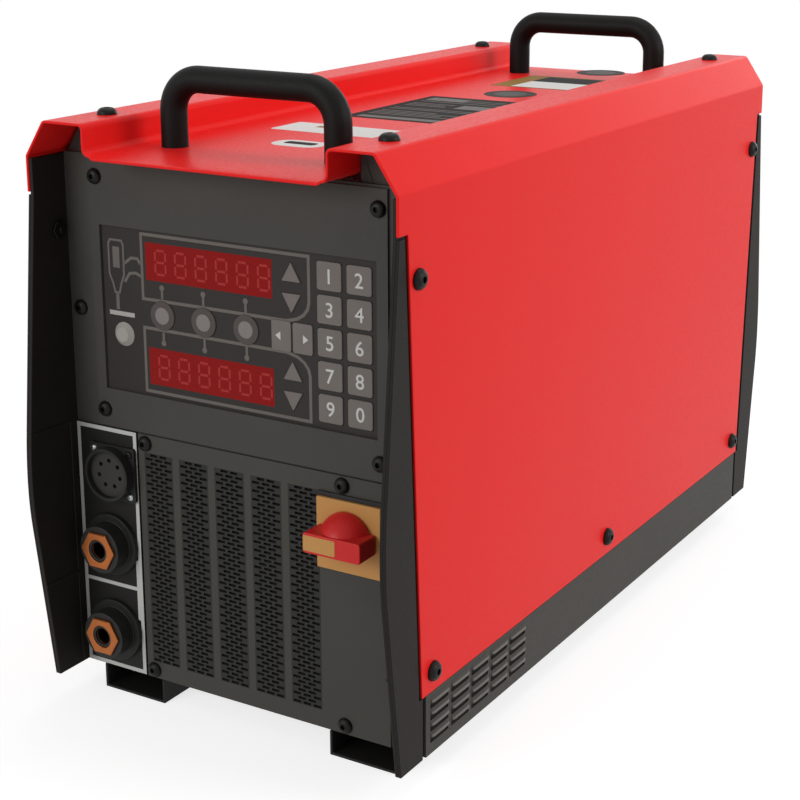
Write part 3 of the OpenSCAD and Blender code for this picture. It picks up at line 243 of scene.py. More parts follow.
# A thick smooth coat: half glossy, with an orange peel about 3 mm across that ripples the light.
red_coat = finish("red_gloss_powder_coat", "e9201e", "ee2422", patch_mm=140, grit_mm=3.0,
                  depth_mm=0.02, roughness=0.36, specular=0.12, IOR=1.45)
cover_sheet = piece("cover_sheet", mesh_of(cover, "cover_sheet"), red_coat, "red_cover",
                    stands_for=["cover"])
soften(backed(cover_sheet, sheet_t), width_mm=0.6, angle=50)


# Wings: moulded side cheeks of the end frames, which bulge out in front of the panels.
# Each has an inner plate with low stiffening ribs, a flange behind the panel's edge, and a skin
# that lies flush with the cover across a 4 mm seam.
def skin(work, rings, ring=False):
    """Joins rings of corners to a tube with end faces or, as a ring, back to the first of them."""
    for a, b in zip(rings, rings[1:] + (rings[:1] if ring else [])):
        for i in range(len(a)):
            j = (i + 1) % len(a)
            work.faces.new((a[i], a[j], b[j], b[i]))
    if not ring:
        work.faces.new(rings[0][::-1])
        work.faces.new(rings[-1])


def prism(work, outline, axis, low, high):
    """A closed prism on an outline, along x, y or z, in millimetres."""
    order = {"x": (2, 0, 1), "y": (0, 2, 1), "z": (0, 1, 2)}[axis]
    rings = []
    for height in (low, high):
        points = [(a, b, height) for a, b in outline]
        rings.append([work.verts.new(metres(*[p[i] for i in order])) for p in points])
    skin(work, rings)


def rectangle(x0, z0, x1, z1):
    return [(x0, z0), (x1, z0), (x1, z1), (x0, z1)]


def closed(work, name):
    """A plain mesh with its seams joined, its faces outward and its edges sharp past 35 degrees."""
    bmesh.ops.remove_doubles(work, verts=work.verts, dist=1e-7)
    bmesh.ops.recalc_face_normals(work, faces=work.faces)
    for face in work.faces:
        face.smooth = True
    made = mesh_of(work, name)
    made.set_sharp_from_angle(angle=math.radians(35))
    return made


def solid(name, work, *rest, **more):
    """A piece that is made of closed shapes."""
    return piece(name, closed(work, name), *rest, **more)


seam, foot_z, plate_top, skin_top, wing_top = 4, 20, 222, 404, 431
plate_back, flange_back, skin_back = -298, -295, -306
chin, tip, brow = Vector((-336, foot_z)), Vector((-356.45, 183)), Vector((-335, skin_top))
# The bulge is rounded over a fifth of the way to the foot and to the top.
round_share, round_steps = 0.2, 12
below, above = tip.lerp(chin, round_share), tip.lerp(brow, round_share)
shares = [i / round_steps for i in range(round_steps + 1)]
bulge = [below.lerp(tip, s).lerp(tip.lerp(above, s), s) for s in shares]
wing_front = [tuple(p) for p in [chin] + bulge + [brow]]
plate_outline = [(plate_back, foot_z)] + wing_front + [
    (brow.x, wing_top), (flange_back, wing_top), (flange_back, plate_top), (plate_back, plate_top)]
skin_outline = [(skin_back, foot_z)] + wing_front + [
    (-wall_high_end - seam, skin_top), (-wall_low_end - seam, wall_foot), (skin_back, wall_foot)]
plate_in, plate_out, skin_in, rib_in, rib_out = 155, 158, 157.8, 154.2, 155.3
flange_in, overlap = 135, 0.2
flange_outline = rectangle(flange_in, plate_top, plate_in + overlap, wing_top)
rib_outlines = [rectangle(-349, 221, -308, 223.4), rectangle(-346, 97, -308, 99.4),
                rectangle(-310.4, 24, -308.2, 222)]
layers = [(plate_outline, plate_in, plate_out), (skin_outline, skin_in, wall_x)]
layers += [(rib, rib_in, rib_out) for rib in rib_outlines]
# Moulded plastic, nearly black: a fine even grain, with a dull light on the long flanks.
grey_moulding = finish("grey_moulded_abs", "1d1b19", "252220", patch_mm=80, grit_mm=2.0,
                       depth_mm=0.06, roughness=0.55, specular=0.1, IOR=1.53)
for end, name in ((1, "front_wings"), (-1, "rear_wings")):
    wings = bmesh.new()
    for side in (-1, 1):
        for outline, near, far in layers:
            prism(wings, [(y * end, z) for y, z in outline], "x", side * near, side * far)
        prism(wings, [(side * x, z) for x, z in flange_outline], "y",
              plate_back * end, flange_back * end)
    soften(solid(name + "_moulding", wings, grey_moulding, "grey_frame", stands_for=[name]), width_mm=0.5)


# Handles: bent round steel tube, powder coated black, bolted up through the tray.
# The coat is smooth, with a soft line of light along the tube.
black_tube = finish("black_satin_powder_coat", "0c0b0a", "131211", patch_mm=40, grit_mm=2.0,
                    depth_mm=0.05, roughness=0.52, specular=0.12, IOR=1.5)
dress(black_tube, "front_handle", "rear_handle")


# Control plate and overlay: a grey coated sheet with a cut-out for the keypad, held by four screws.
# The overlay behind it is a printed film, matt and a little darker than the plate.
dress(grey_coat, "control_plate")
film = finish("matt_printed_film", "282522", "312d2b", patch_mm=30, grit_mm=1.6,
              depth_mm=0.02, roughness=0.6, IOR=1.5)
dress(film, "keypad_overlay")


# Printing on the overlay: thin lines round the displays and from the mode buttons, and a plain
# sketch of a stud gun on a plate. It is screen printed on the film.
def ribbon(work, points, width, face_y, thick=0.12, ring=False):
    """A printed line with mitred corners, through points in x and z, on a face that looks to -Y."""
    count, top_y, ends = len(points), face_y - thick, []
    for i, here in enumerate(points):
        before = points[i - 1] if ring or i else None
        after = points[(i + 1) % count] if ring or i < count - 1 else None
        ways = [Vector((a[1] - b[1], b[0] - a[0])).normalized()
                for a, b in ((before, here), (here, after)) if a and b]
        across = sum(ways, Vector((0, 0))).normalized()
        across *= width / 2 / across.dot(ways[0])
        ends.append([work.verts.new(metres(here[0] + side * across.x, y, here[1] + side * across.y))
                     for side, y in ((-1, face_y), (1, face_y), (1, top_y), (-1, top_y))])
    skin(work, ends, ring)


def circle(x, z, r, sides, start=0):
    """Points round a circle, from a start angle in degrees."""
    turns = [math.radians(start) + 2 * math.pi * i / sides for i in range(sides)]
    return [(x + r * math.cos(a), z + r * math.sin(a)) for a in turns]


def disc(work, x, z, r, face_y, thick, sides=24):
    prism(work, circle(x, z, r, sides), "y", face_y - thick, face_y)


keypad_z, overlay_y = 316.36, -301.0
mode_buttons = {"left_mode_button": -66.0, "middle_mode_button": -28.0, "right_mode_button": 10.0}
# A frame round each display, whose corner by the keys is swept in; heights count from the middle.
frame_left, frame_right, frame_low, frame_high = -84, 65, 11, 60
sweep_w, sweep_h, sweep_top = 20, 15, 27
sweep = [(frame_right - sweep_w * (1 - math.cos(math.radians(a))),
          sweep_top - sweep_h * math.sin(math.radians(a))) for a in (20, 40, 60, 80)]
display_frame = [(frame_left, frame_low), (frame_left, frame_high), (frame_right, frame_high),
                 (frame_right, sweep_top)] + sweep + [(frame_right - sweep_w, frame_low + 0.5)]
frame_w, stem_w, stem_low, stem_high, dot_z, dot_r = 2.4, 2.0, 12.6, 19, 21, 2.2
lines = bmesh.new()
for way in (1, -1):
    ribbon(lines, [(x, keypad_z + way * z) for x, z in display_frame], frame_w, overlay_y, ring=True)
    for x in mode_buttons.values():
        ribbon(lines, [(x, keypad_z + way * z) for z in (stem_low, stem_high)], stem_w, overlay_y, 0.1)
        disc(lines, x, keypad_z + way * dot_z, dot_r, overlay_y, 0.16)
# Screen ink: flat, even and without a highlight.
ink = finish("warm_grey_screen_ink", "635d59", "6e6762", patch_mm=20, grit_mm=1.0,
             depth_mm=0.01, roughness=0.6, IOR=1.5)
solid("overlay_lines", lines, ink, "key_cap")

gun_x, cable_x, gun_side, gun_line_w = -108.5, -85.5, -101, 1.6
gun_outline = [(-114, 369), (-103, 369), (-101.5, 366), (-101.5, 343), (-104.5, 336), (-106.5, 329),
               (-110.5, 329), (-112.5, 336), (-115.5, 343), (-115.5, 366)]
strokes = [([(gun_x, 364), (gun_x, 348)], 6.5, 0.1),
           ([(gun_side, 352), (-94, 357), (-88, 357), (cable_x, 353)], 2.2, 0.12),
           ([(gun_side, 338), (-96, 345), (-90, 346), (cable_x, 344)], 2.2, 0.12),
           ([(gun_x, 328), (gun_x, 316)], 3.0, 0.12)]
sketch = bmesh.new()
ribbon(sketch, gun_outline, gun_line_w, overlay_y, ring=True)
for points, width, thick in strokes:
    ribbon(sketch, points, width, overlay_y, thick)
solid("gun_sketch", sketch, ink, "key_cap")
sketch_plate_z, sketch_plate_w = 313, 3.4
plate_line = bmesh.new()
ribbon(plate_line, [(-117, sketch_plate_z), (-93, sketch_plate_z)], sketch_plate_w, overlay_y)
# The same kind of ink in a pale grey, so that the plate stands out from the gun.
pale_ink = finish("pale_grey_screen_ink", "a5a29e", "b3b0ab", patch_mm=20, grit_mm=1.0,
                  depth_mm=0.01, roughness=0.55, IOR=1.5)
solid("sketch_plate", plate_line, pale_ink, "lamp")


# Displays: red tinted acrylic windows set in the overlay, with six seven-segment figures each.
# The figures are unlit, so they are a shade lighter than the window, and are drawn on its face.
# Cast acrylic: deep red and glossy, with hardly any grain.
acrylic = finish("red_tinted_acrylic", "861412", "901715", patch_mm=25, grit_mm=8,
                 depth_mm=0.005, roughness=0.25, specular=0.08, IOR=1.49)
dress(acrylic, "display_windows")


def points_at(name, points):
    """A mesh of loose points, in millimetres, where copies start."""
    mesh = bpy.data.meshes.new(name)
    mesh.from_pydata([metres(*p) for p in points], [], [])
    return mesh


def grown(name, tree, start, copied, **inputs):
    """Copies a mesh with a node tree to the points of a start mesh, and gives one plain mesh."""
    inputs["Copy"] = object_of(copied.name, copied)
    seed = object_of(name, start)
    run = seed.modifiers.new("grow", "NODES")
    run.node_group = tree
    for item in tree.interface.items_tree:
        if item.item_type == "SOCKET" and item.in_out == "INPUT" and item.name in inputs:
            run[item.identifier] = inputs[item.name]
    view = bpy.context.evaluated_depsgraph_get()
    view.update()
    mesh = bpy.data.meshes.new_from_object(seed.evaluated_get(view), depsgraph=view)
    mesh.name = name
    for used in [a.name for a in mesh.attributes if a.name in ("turn", "axis")]:
        mesh.attributes.remove(mesh.attributes[used])
    seed.modifiers.remove(run)
    for spent in (seed, inputs["Copy"]):
        bpy.data.objects.remove(spent)
    return mesh


def node_tree(name, **inputs):
    """An empty geometry node tree with named inputs of the given kinds, and what they give."""
    tree = bpy.data.node_groups.new(name, "GeometryNodeTree")
    tree.interface.new_socket("Geometry", in_out="INPUT", socket_type="NodeSocketGeometry")
    for title, kind in inputs.items():
        tree.interface.new_socket(title, in_out="INPUT", socket_type="NodeSocket" + kind)
    tree.interface.new_socket("Geometry", in_out="OUTPUT", socket_type="NodeSocketGeometry")
    return tree, tree.nodes.new("NodeGroupInput").outputs


def end_tree(tree, copies, coat):
    """Makes the copies real, joins their seams and gives them their finish."""
    real = put(tree, "GeometryNodeRealizeInstances", {"Geometry": copies})
    joined = put(tree, "GeometryNodeMergeByDistance", {"Geometry": real.outputs[0], "Distance": 0.00001})
    coated = put(tree, "GeometryNodeSetMaterial", {"Geometry": joined.outputs[0], "Material": coat})
    put(tree, "NodeGroupOutput", {"Geometry": coated.outputs[0]})


# A grid of copies starts at each point of the start mesh. A point may carry a turn about Z.
grid_tree, given = node_tree("grid_of_copies", Copy="Object", Columns="Int", Rows="Int",
                             Along="Vector", Up="Vector", Finish="Material")
columns = put(grid_tree, "GeometryNodeMeshLine", {"Count": given["Columns"], "Offset": given["Along"]})
levels = put(grid_tree, "GeometryNodeMeshLine", {"Count": given["Rows"], "Offset": given["Up"]})
copy_of = put(grid_tree, "GeometryNodeObjectInfo", {"Object": given["Copy"]})
column = put(grid_tree, "GeometryNodeInstanceOnPoints", {
    "Points": levels.outputs[0], "Instance": copy_of.outputs["Geometry"]})
block = put(grid_tree, "GeometryNodeInstanceOnPoints", {
    "Points": columns.outputs[0], "Instance": column.outputs[0]})
turn = put(grid_tree, "GeometryNodeInputNamedAttribute", {"Name": "turn"}, data_type="FLOAT")
facing = put(grid_tree, "ShaderNodeCombineXYZ", {"Z": turn.outputs[0]})
blocks = put(grid_tree, "GeometryNodeInstanceOnPoints", {
    "Points": given["Geometry"], "Instance": block.outputs[0], "Rotation": facing.outputs[0]})
end_tree(grid_tree, blocks.outputs[0], given["Finish"])

figure_w, figure_h, bar_w, bar_gap, bar_t = 9.5, 18.0, 1.8, 1.2, 0.1
figure_x, figure_step, display_rise = -66.5, 18.6, 40
figure = bmesh.new()
for z in (0, figure_h / 2, figure_h):
    ribbon(figure, [(-figure_w / 2 + bar_gap, z), (figure_w / 2 - bar_gap, z)], bar_w, 0, bar_t)
for x in (-figure_w / 2, figure_w / 2):
    for z in (0, figure_h / 2):
        ribbon(figure, [(x, z + bar_gap), (x, z + figure_h / 2 - bar_gap)], bar_w, 0, bar_t)
figure_rows = points_at("figure_rows", [(figure_x, overlay_y, keypad_z + rise - figure_h / 2)
                                        for rise in (display_rise, -display_rise)])
# An unlit segment: a smooth diffuser, a shade paler than the acrylic.
dim_segment = finish("dim_led_segment", "a02623", "ac2c28", patch_mm=12, grit_mm=2,
                     depth_mm=0.005, roughness=0.3, IOR=1.49)
figures = grown("display_figures", grid_tree, figure_rows, closed(figure, "seven_segment"),
                Columns=6, Rows=1, Along=metres(figure_step, 0, 0), Finish=dim_segment)
piece("display_figures", figures, None, "display_red")


# Keys: moulded caps that stand a little out of the overlay, with rounded edges.
# Number keys carry a printed figure, arrow keys are bare triangles, select keys a small mark, and
# the round mode buttons a paler middle, which is a painted highlight.
def round_rect(x, z, w, h, r, steps=4):
    points = []
    for i, (sx, sz) in enumerate(((1, 1), (-1, 1), (-1, -1), (1, -1))):
        for k in range(steps + 1):
            a = math.radians(90 * i + 90 * k / steps)
            points.append((x + sx * (w / 2 - r) + r * math.cos(a), z + sz * (h / 2 - r) + r * math.sin(a)))
    return points


key_face, key_back = -301.9, -297
# A mark starts a little inside the key's face, and a figure has its middle just in front of it.
mark_y, mark_t, figure_y = key_face + 0.02, 0.12, key_face - 0.03
# A figure is as tall as this share of its font's size.
figure_share = 0.7


def key(name, outline, plastic):
    cap = bmesh.new()
    prism(cap, outline, "y", key_face, key_back)
    made = solid(name + "_cap", cap, plastic, "key_cap", name + "_body", [name])
    return soften(made, width_mm=0.45, angle=60)


def figure_on(name, text, x, z, height):
    """A printed figure, from Blender's own font, on the face of a key."""
    letters = bpy.data.curves.new(name, "FONT")
    letters.body = text
    letters.size = height / figure_share
    letters.align_x = "CENTER"
    letters.align_y = "CENTER"
    letters.extrude = 0.06
    letters.offset = 0.12
    typed = object_of(name, letters)
    view = bpy.context.evaluated_depsgraph_get()
    flat = bpy.data.meshes.new_from_object(typed.evaluated_get(view), depsgraph=view)
    bpy.data.objects.remove(typed)
    work = bmesh.new()
    work.from_mesh(flat)
    bpy.data.meshes.remove(flat)
    tall = [v.co.y for v in work.verts]
    wide = [v.co.x for v in work.verts]
    up, left = (max(tall) + min(tall)) / 2, (max(wide) + min(wide)) / 2
    for v in work.verts:
        v.co = metres(x + v.co.x - left, figure_y - v.co.z, z + v.co.y - up)
    bmesh.ops.remove_doubles(work, verts=work.verts, dist=1e-6)
    bmesh.ops.dissolve_degenerate(work, dist=1e-6, edges=work.edges)
    return solid(name + "_figure", work, white_ink, "lamp", name + "_body")


# Moulded caps: an even eggshell finish, light enough to stand out from the film.
key_plastic = finish("warm_grey_moulded_key", "6d6662", "79726d", patch_mm=12, grit_mm=1.2,
                     depth_mm=0.02, roughness=0.58, IOR=1.5)
# The same finish in a darker grey, for the rings of the mode buttons.
dark_key = finish("dark_grey_moulded_key", "4a4441", "544d49", patch_mm=12, grit_mm=1.2,
                  depth_mm=0.02, roughness=0.58, IOR=1.5)
# Their middles are painted paler, as a highlight on a flat cap, and mottled from use.
mode_button_painted_highlight = finish("pale_grey_key_middle", "777170", "88827e", patch_mm=3, grit_mm=1.2,
                  depth_mm=0.04, roughness=0.55, IOR=1.5)
# Pad printed ink: nearly white, flat and crisp.
white_ink = finish("pale_key_ink", "c4c3c0", "cecdca", patch_mm=10, grit_mm=1.0,
                   depth_mm=0.005, roughness=0.5, IOR=1.5)
key_x, key_step_x, key_step_z, key_w, key_h, key_r = 82.4, 24.7, 23.95, 20.4, 20.7, 2
figure_tall, middle_row = 10.5, 2
for index, digit in enumerate("1234567890"):
    x, z = key_x + key_step_x * (index % 2), keypad_z + key_step_z * (middle_row - index // 2)
    key("key_" + digit, round_rect(x, z, key_w, key_h, key_r), key_plastic)
    figure_on("key_" + digit, digit, x, z, figure_tall)
arrow_x, arrow_r = 50.3, 9.4
for name, way, rise in (("upper_up_key", 1, 45), ("upper_down_key", -1, 27),
                        ("lower_up_key", 1, -27), ("lower_down_key", -1, -45)):
    key(name, circle(arrow_x, keypad_z + rise, arrow_r, 3, 90 * way), key_plastic)
select_out, select_w, select_h = 9.2, 17, 22.4
mark_out, mark_point, mark_base, mark_half = 11.5, 2.6, 1.8, 3.2
for name, side in (("left_select_key", -1), ("right_select_key", 1)):
    key(name, round_rect(arrow_x + side * select_out, keypad_z, select_w, select_h, key_r), key_plastic)
    mark = bmesh.new()
    mark_x = arrow_x + side * mark_out
    base_x = mark_x - side * mark_base
    prism(mark, [(mark_x + side * mark_point, keypad_z), (base_x, keypad_z + mark_half),
                 (base_x, keypad_z - mark_half)], "y", mark_y - mark_t, mark_y)
    solid(name + "_mark", mark, white_ink, "lamp", name + "_body")
mode_r, mode_middle_r, middle_t = 11.19, 6.4, 0.14
for name, x in mode_buttons.items():
    key(name, circle(x, keypad_z, mode_r, 40), dark_key)
    # A paler disc in the middle of each mode button: a painted highlight.
    middle = bmesh.new()
    disc(middle, x, keypad_z, mode_middle_r, mark_y, middle_t, 32)
    solid(name + "_middle", middle, mode_button_painted_highlight, "key_cap", name + "_body")


# Status lamp: a moulded lens over a signal light, pressed into the overlay.
# Frosted acrylic: pale, with a soft blurred highlight.
lens = finish("frosted_acrylic_lens", "98948e", "aaa69f", patch_mm=6, grit_mm=1.5,
              depth_mm=0.05, roughness=0.4, IOR=1.49)
dress(lens, "status_lamp")


# Grille panel: a coated sheet with five strips of short punched slots in staggered rows, held by
# four screws. One tile of two rows is copied over every strip, and the plain sheet lies round them.
def flat_sheet(name, fields, y):
    """A sheet that looks to -Y, joined from fields of (x0, z0, x1, z1)."""
    work = bmesh.new()
    for field in fields:
        work.faces.new([work.verts.new(metres(x, y, z)) for x, z in rectangle(*field)])
    bmesh.ops.remove_doubles(work, verts=work.verts, dist=1e-6)
    return mesh_of(work, name)


panel_y, slack = -303, 0.01
row_h, slot_l, slot_h, slot_step, slot_margin, slot_rise = 3.32, 6.6, 2.0, 9, 1.2, 0.66
tile_w, tile_h = 27.0, 2 * row_h
slot_starts = [[slot_margin + slot_step * (i + shift) for i in range(count)]
               for count, shift in ((3, 0), (2, 0.5))]
cuts = sorted({0, tile_w} | {start + d for row in slot_starts for start in row for d in (0, slot_l)})
row_cuts = [row_h * row + d for row in (0, 1) for d in (0, slot_rise, slot_rise + slot_h)] + [tile_h]
tile_fields = []
for j, (z0, z1) in enumerate(zip(row_cuts, row_cuts[1:])):
    for x0, x1 in zip(cuts, cuts[1:]):
        in_slot = any(a - slack < x0 and x1 < a + slot_l + slack for a in slot_starts[j // 3])
        if j % 3 != 1 or not in_slot:
            tile_fields.append((x0, z0, x1, z1))
strip_x, strip_z, strip_step, strip_count, tile_count = -88, 34.5, 33.2, 5, 26
# The strips are painted darker than the sheet round them: painted shade from the slots.
slot_strip_painted_shade = finish("grey_coat_in_slots", "242422", "2c2b29", patch_mm=60, grit_mm=2.4,
                   depth_mm=0.08, roughness=0.65, IOR=1.5)
strips = grown("punched_strips", grid_tree, points_at("strip_corner", [(strip_x, panel_y, strip_z)]),
               flat_sheet("slot_tile", tile_fields, 0), Columns=strip_count, Rows=tile_count,
               Along=metres(strip_step, 0, 0), Up=metres(0, 0, tile_h), Finish=slot_strip_painted_shade)
strip_t = 1.9
backed(piece("grille_strips", strips, None, "grey_sheet"), strip_t)
panel_left, panel_right, panel_low, panel_high = -93.5, 131, 20.5, 221.22
hole_left, hole_right, hole_low, hole_high = 92, 106, 170, 184
strip_starts = [strip_x + strip_step * i for i in range(strip_count)]
strip_edges = [edge for x in strip_starts for edge in (x, x + tile_w)]
xs = [panel_left] + strip_edges + [hole_left, hole_right, panel_right]
zs = [panel_low, strip_z, strip_z + tile_count * tile_h, panel_high]
sheet_fields = []
for x0, x1 in zip(xs, xs[1:]):
    for z0, z1 in zip(zs, zs[1:]):
        spans = [(z0, z1)]
        if z0 == strip_z and x0 in strip_starts:
            spans = []
        elif z0 == strip_z and x0 == hole_left:
            spans = [(z0, hole_low), (hole_high, z1)]
        sheet_fields += [(x0, a, x1, b) for a, b in spans]
backed(piece("grille_sheet", flat_sheet("grille_sheet", sheet_fields, panel_y), grey_coat, "grey_sheet",
             stands_for=["grille_panel"]), sheet_t)


# Dust mat: a sheet of open foam, cut to fit the panel's cut-out behind the slots.
# Black foam: rough and porous, so no light comes back from it.
mat_gap, mat_top, mat_front, mat_back = 0.1, 207.1, -300.9, -298.4
mat_right = strip_starts[-1] + tile_w - mat_gap
mat = bmesh.new()
prism(mat, rectangle(strip_x + mat_gap, strip_z + mat_gap, mat_right, mat_top), "y", mat_front, mat_back)
foam = finish("black_open_foam", "0c0c0c", "161615", patch_mm=6, grit_mm=1.5,
              depth_mm=0.3, roughness=0.9, IOR=1.4)
solid("dust_mat", mat, foam, "fan_black")


# Louvres in the base pan's sides: above each slot the sheet is pressed out into a low hood.
# The hood is part of the pan and has its coat; along the lip the coat is painted paler, as a painted
# highlight.
hood_section = ((-0.4, 0), (0.15, 0), (0.7, -1.2), (1.4, -2.4), (2, -3.4), (2, -4.2), (1.3, -4.8),
                (-0.4, -4.8))
hood_swell = ((-13, 0), (-12, 0.6), (-9.5, 1), (9.5, 1), (12, 0.6), (13, 0))
louvre_step_y, louvre_step_z, louvre_z, first_y, last_y = 30, 9, 37.5, -283, -163
hood = bmesh.new()
skin(hood, [[hood.verts.new(metres(x * swell if x > 0 else x, y, z)) for x, z in hood_section]
            for y, swell in hood_swell])
louvre_starts = points_at("louvre_starts", [(wall_x, first_y, louvre_z), (-wall_x, last_y, louvre_z)])
louvre_starts.attributes.new("turn", "FLOAT", "POINT").data[1].value = math.pi
louvres = grown("louvre_ribs", grid_tree, louvre_starts, closed(hood, "louvre_hood"), Columns=5, Rows=4,
                Along=metres(0, louvre_step_y, 0), Up=metres(0, 0, louvre_step_z), Finish=grey_coat)
# The lip: the same coat with a painted highlight, paler and a little smoother.
lip_painted_highlight = finish("burnished_grey_coat", "65625d", "75716b", patch_mm=30, grit_mm=2.4,
                   depth_mm=0.06, roughness=0.5, IOR=1.5)
louvres.materials.clear()
louvres.materials.append(grey_coat)
louvres.materials.append(lip_painted_highlight)
lip_out = 1.2
# Faces that stand more than 1.2 mm out of the wall and don't face down get the painted highlight.
for face in louvres.polygons:
    painted_highlight_face = abs(face.center.x) > (wall_x + lip_out) / 1000 and face.normal.z > -0.5
    face.material_index = 1 if painted_highlight_face else 0
piece("louvre_ribs", louvres, None, "grey_sheet")


# Connector plate: a black coated sheet that carries the three sockets, framed by a white
# printed line with a divider between the two weld sockets.
dress(black_coat, "connector_plate")
border_left, border_right, border_low, border_high, border_w = -152.6, -97, 22.4, 219.4, 3.2
# The border is thicker beside the divider.
divider_z, divider_w, thicker_x, thicker_w = 92, 3.0, -99.85, 2.4
frame_lines = bmesh.new()
ribbon(frame_lines, [(border_left, border_low), (border_left, border_high), (border_right, border_high),
                     (border_right, border_low)], border_w, panel_y, ring=True)
ribbon(frame_lines, [(-150.9, divider_z), (-101.1, divider_z)], divider_w, panel_y)
ribbon(frame_lines, [(thicker_x, 66), (thicker_x, 116)], thicker_w, panel_y)
# White screen ink on the coat: flat, and a little grey where the black shows through.
white_line = finish("white_screen_ink", "b9b9b6", "c6c6c3", patch_mm=30, grit_mm=1.0,
                    depth_mm=0.01, roughness=0.5, IOR=1.5)
solid("connector_lines", frame_lines, white_line, "lamp")


# Sockets: moulded insulators, fixed to the connector plate. The weld sockets hold a turned brass
# contact with a hexagonal rim; a black ring in its mouth and a bore painted nearly black are
# painted shade in the deep hole. The control socket has a square flange with four screws, and an
# insert with pin holes.
# Moulded nylon: black, with a soft sheen.
moulded_black = finish("black_moulded_nylon", "1b1a19", "252423", patch_mm=15, grit_mm=1.5,
                       depth_mm=0.03, roughness=0.48, IOR=1.53)
dress(moulded_black, "control_socket", "upper_weld_socket", "lower_weld_socket", "mains_gland",
      "switch_body")
# The insert is a duller, greyer moulding, so the pin holes show.
insert_grey = finish("grey_moulded_insert", "2e2d2b", "393836", patch_mm=8, grit_mm=1.0,
                     depth_mm=0.03, roughness=0.55, IOR=1.53)
dress(insert_grey, "control_insert")
ease(0.5, "control_socket", "upper_weld_socket", "lower_weld_socket")
# Turned brass: reddish from handling, with a broad metal gleam.
brass = finish("turned_brass", "96562e", "ad693c", patch_mm=6, grit_mm=0.8,
               depth_mm=0.01, Metallic=1.0, roughness=0.38)
# Inside the bore the brass is painted nearly black: painted shade in the deep hole.
bore_painted_shade = finish("tarnished_brass_bore", "1a120c", "241912", patch_mm=4, grit_mm=0.8,
                 depth_mm=0.02, Metallic=0.7, roughness=0.55)


def lathe(work, x, z, steps, sides=48, ring=False):
    """A piece on an axis along Y: steps of (radius, y), or of (across flats, y, number of flats)."""
    rings = []
    for step in steps:
        points = []
        for i in range(sides):
            a = 2 * math.pi * i / sides
            r = step[0]
            if len(step) == 3:
                half = math.pi / step[2]
                r /= 2 * math.cos((a - math.pi / 2 + half) % (2 * half) - half)
            points.append((x + r * math.cos(a), step[1], z + r * math.sin(a)))
        rings.append([work.verts.new(metres(*p)) for p in points])
    skin(work, rings, ring)


contact_x, bore_r, seat_y = -123, 6.75, -319.3
rim_steps = [(11, -290), (11, -319.9), (28, -319.9, 6), (28, -321.8, 6), (26.8, -322.5, 6), (9.4, -322.5),
             (8.9, -322), (8.9, seat_y), (bore_r, seat_y), (bore_r, -292)]
mouth_shade_ring_steps = [(8.85, -319.4), (8.85, -321.2), (8.5, -321.5), (7.1, -321.5), (6.8, -321.2), (6.8, -319.4)]
for name, z in (("upper_contact", 125.88), ("lower_contact", 54.02)):
    rim, mouth_shade_ring = bmesh.new(), bmesh.new()
    lathe(rim, contact_x, z, rim_steps)
    made = solid(name + "_rim", rim, brass, "brass", stands_for=[name])
    made.data.materials.append(bore_painted_shade)
    # The faces inside the bore, behind the seat, take the painted shade.
    for face in made.data.polygons:
        away = math.hypot(face.center.x - contact_x / 1000, face.center.z - z / 1000)
        in_bore = away < (bore_r + 0.05) / 1000 and face.center.y > (seat_y + 0.1) / 1000
        face.material_index = 1 if in_bore else 0
    soften(made, width_mm=0.25, angle=50)
    # A black ring in the mouth: painted shade at the edge of the deep hole.
    lathe(mouth_shade_ring, contact_x, z, mouth_shade_ring_steps, ring=True)
    solid(name + "_sleeve", mouth_shade_ring, moulded_black, "socket_black")


# Main switch: a yellow square rosette with a black strip along its top, and a red handle with
# a grip on a low dome and a padlock slide. They are moulded, and sit on a turned steel shaft.
switch_x, switch_z, rosette_y = 99, 177.024, -307
# Moulded polycarbonate: ochre, smooth and half glossy.
yellow = finish("ochre_moulded_polycarbonate", "be8a4c", "c69254", patch_mm=20, grit_mm=1.6,
                depth_mm=0.02, roughness=0.45, IOR=1.58)
rosette = bmesh.new()
rosette_w, shaft_hole_r = 54, 7
lathe(rosette, switch_x, switch_z, [(rosette_w, panel_y, 4), (rosette_w, rosette_y, 4),
                                    (shaft_hole_r, rosette_y), (shaft_hole_r, panel_y)], ring=True)
soften(solid("switch_rosette", rosette, yellow, "switch_yellow", stands_for=["switch_plate"]),
       width_mm=0.6, angle=50)
# The same plastic in red, with a slightly sharper highlight on the dome.
red_plastic = finish("red_moulded_polycarbonate", "c4201e", "cf2826", patch_mm=16, grit_mm=1.6,
                     depth_mm=0.03, roughness=0.42, IOR=1.58)
dome_steps = [(19.4, -307.4), (20.4, -308.2), (20.4, -311), (20, -313), (18.8, -316), (16.8, -319.4),
              (14.2, -322.8), (11, -325.6), (8, -327.4), (3, -328)]
grip = bmesh.new()
lathe(grip, switch_x, switch_z, dome_steps, 56)
# The dome is flatter below the grip than above it.
axis_z, low_share = switch_z / 1000, 0.62
for v in grip.verts:
    v.co.z = max(v.co.z, axis_z + low_share * (v.co.z - axis_z))
grip_l, grip_h, grip_r, grip_front, grip_back = 48, 15.2, 2.2, -329.1, -308.2
prism(grip, round_rect(switch_x, switch_z, grip_l, grip_h, grip_r), "y", grip_front, grip_back)
soften(solid("switch_grip", grip, red_plastic, "switch_red", "main_switch", ["switch_handle"]),
       width_mm=0.7, angle=60)
slide_x, slide_l, slide_h, slide_r, slide_front, slide_back = 88.9, 27, 11.8, 1.2, -329.4, -326
slide = bmesh.new()
prism(slide, round_rect(slide_x, switch_z, slide_l, slide_h, slide_r), "y", slide_front, slide_back)
soften(solid("lock_tongue", slide, yellow, "switch_yellow", "main_switch", ["lock_slide"]),
       width_mm=0.4, angle=50)
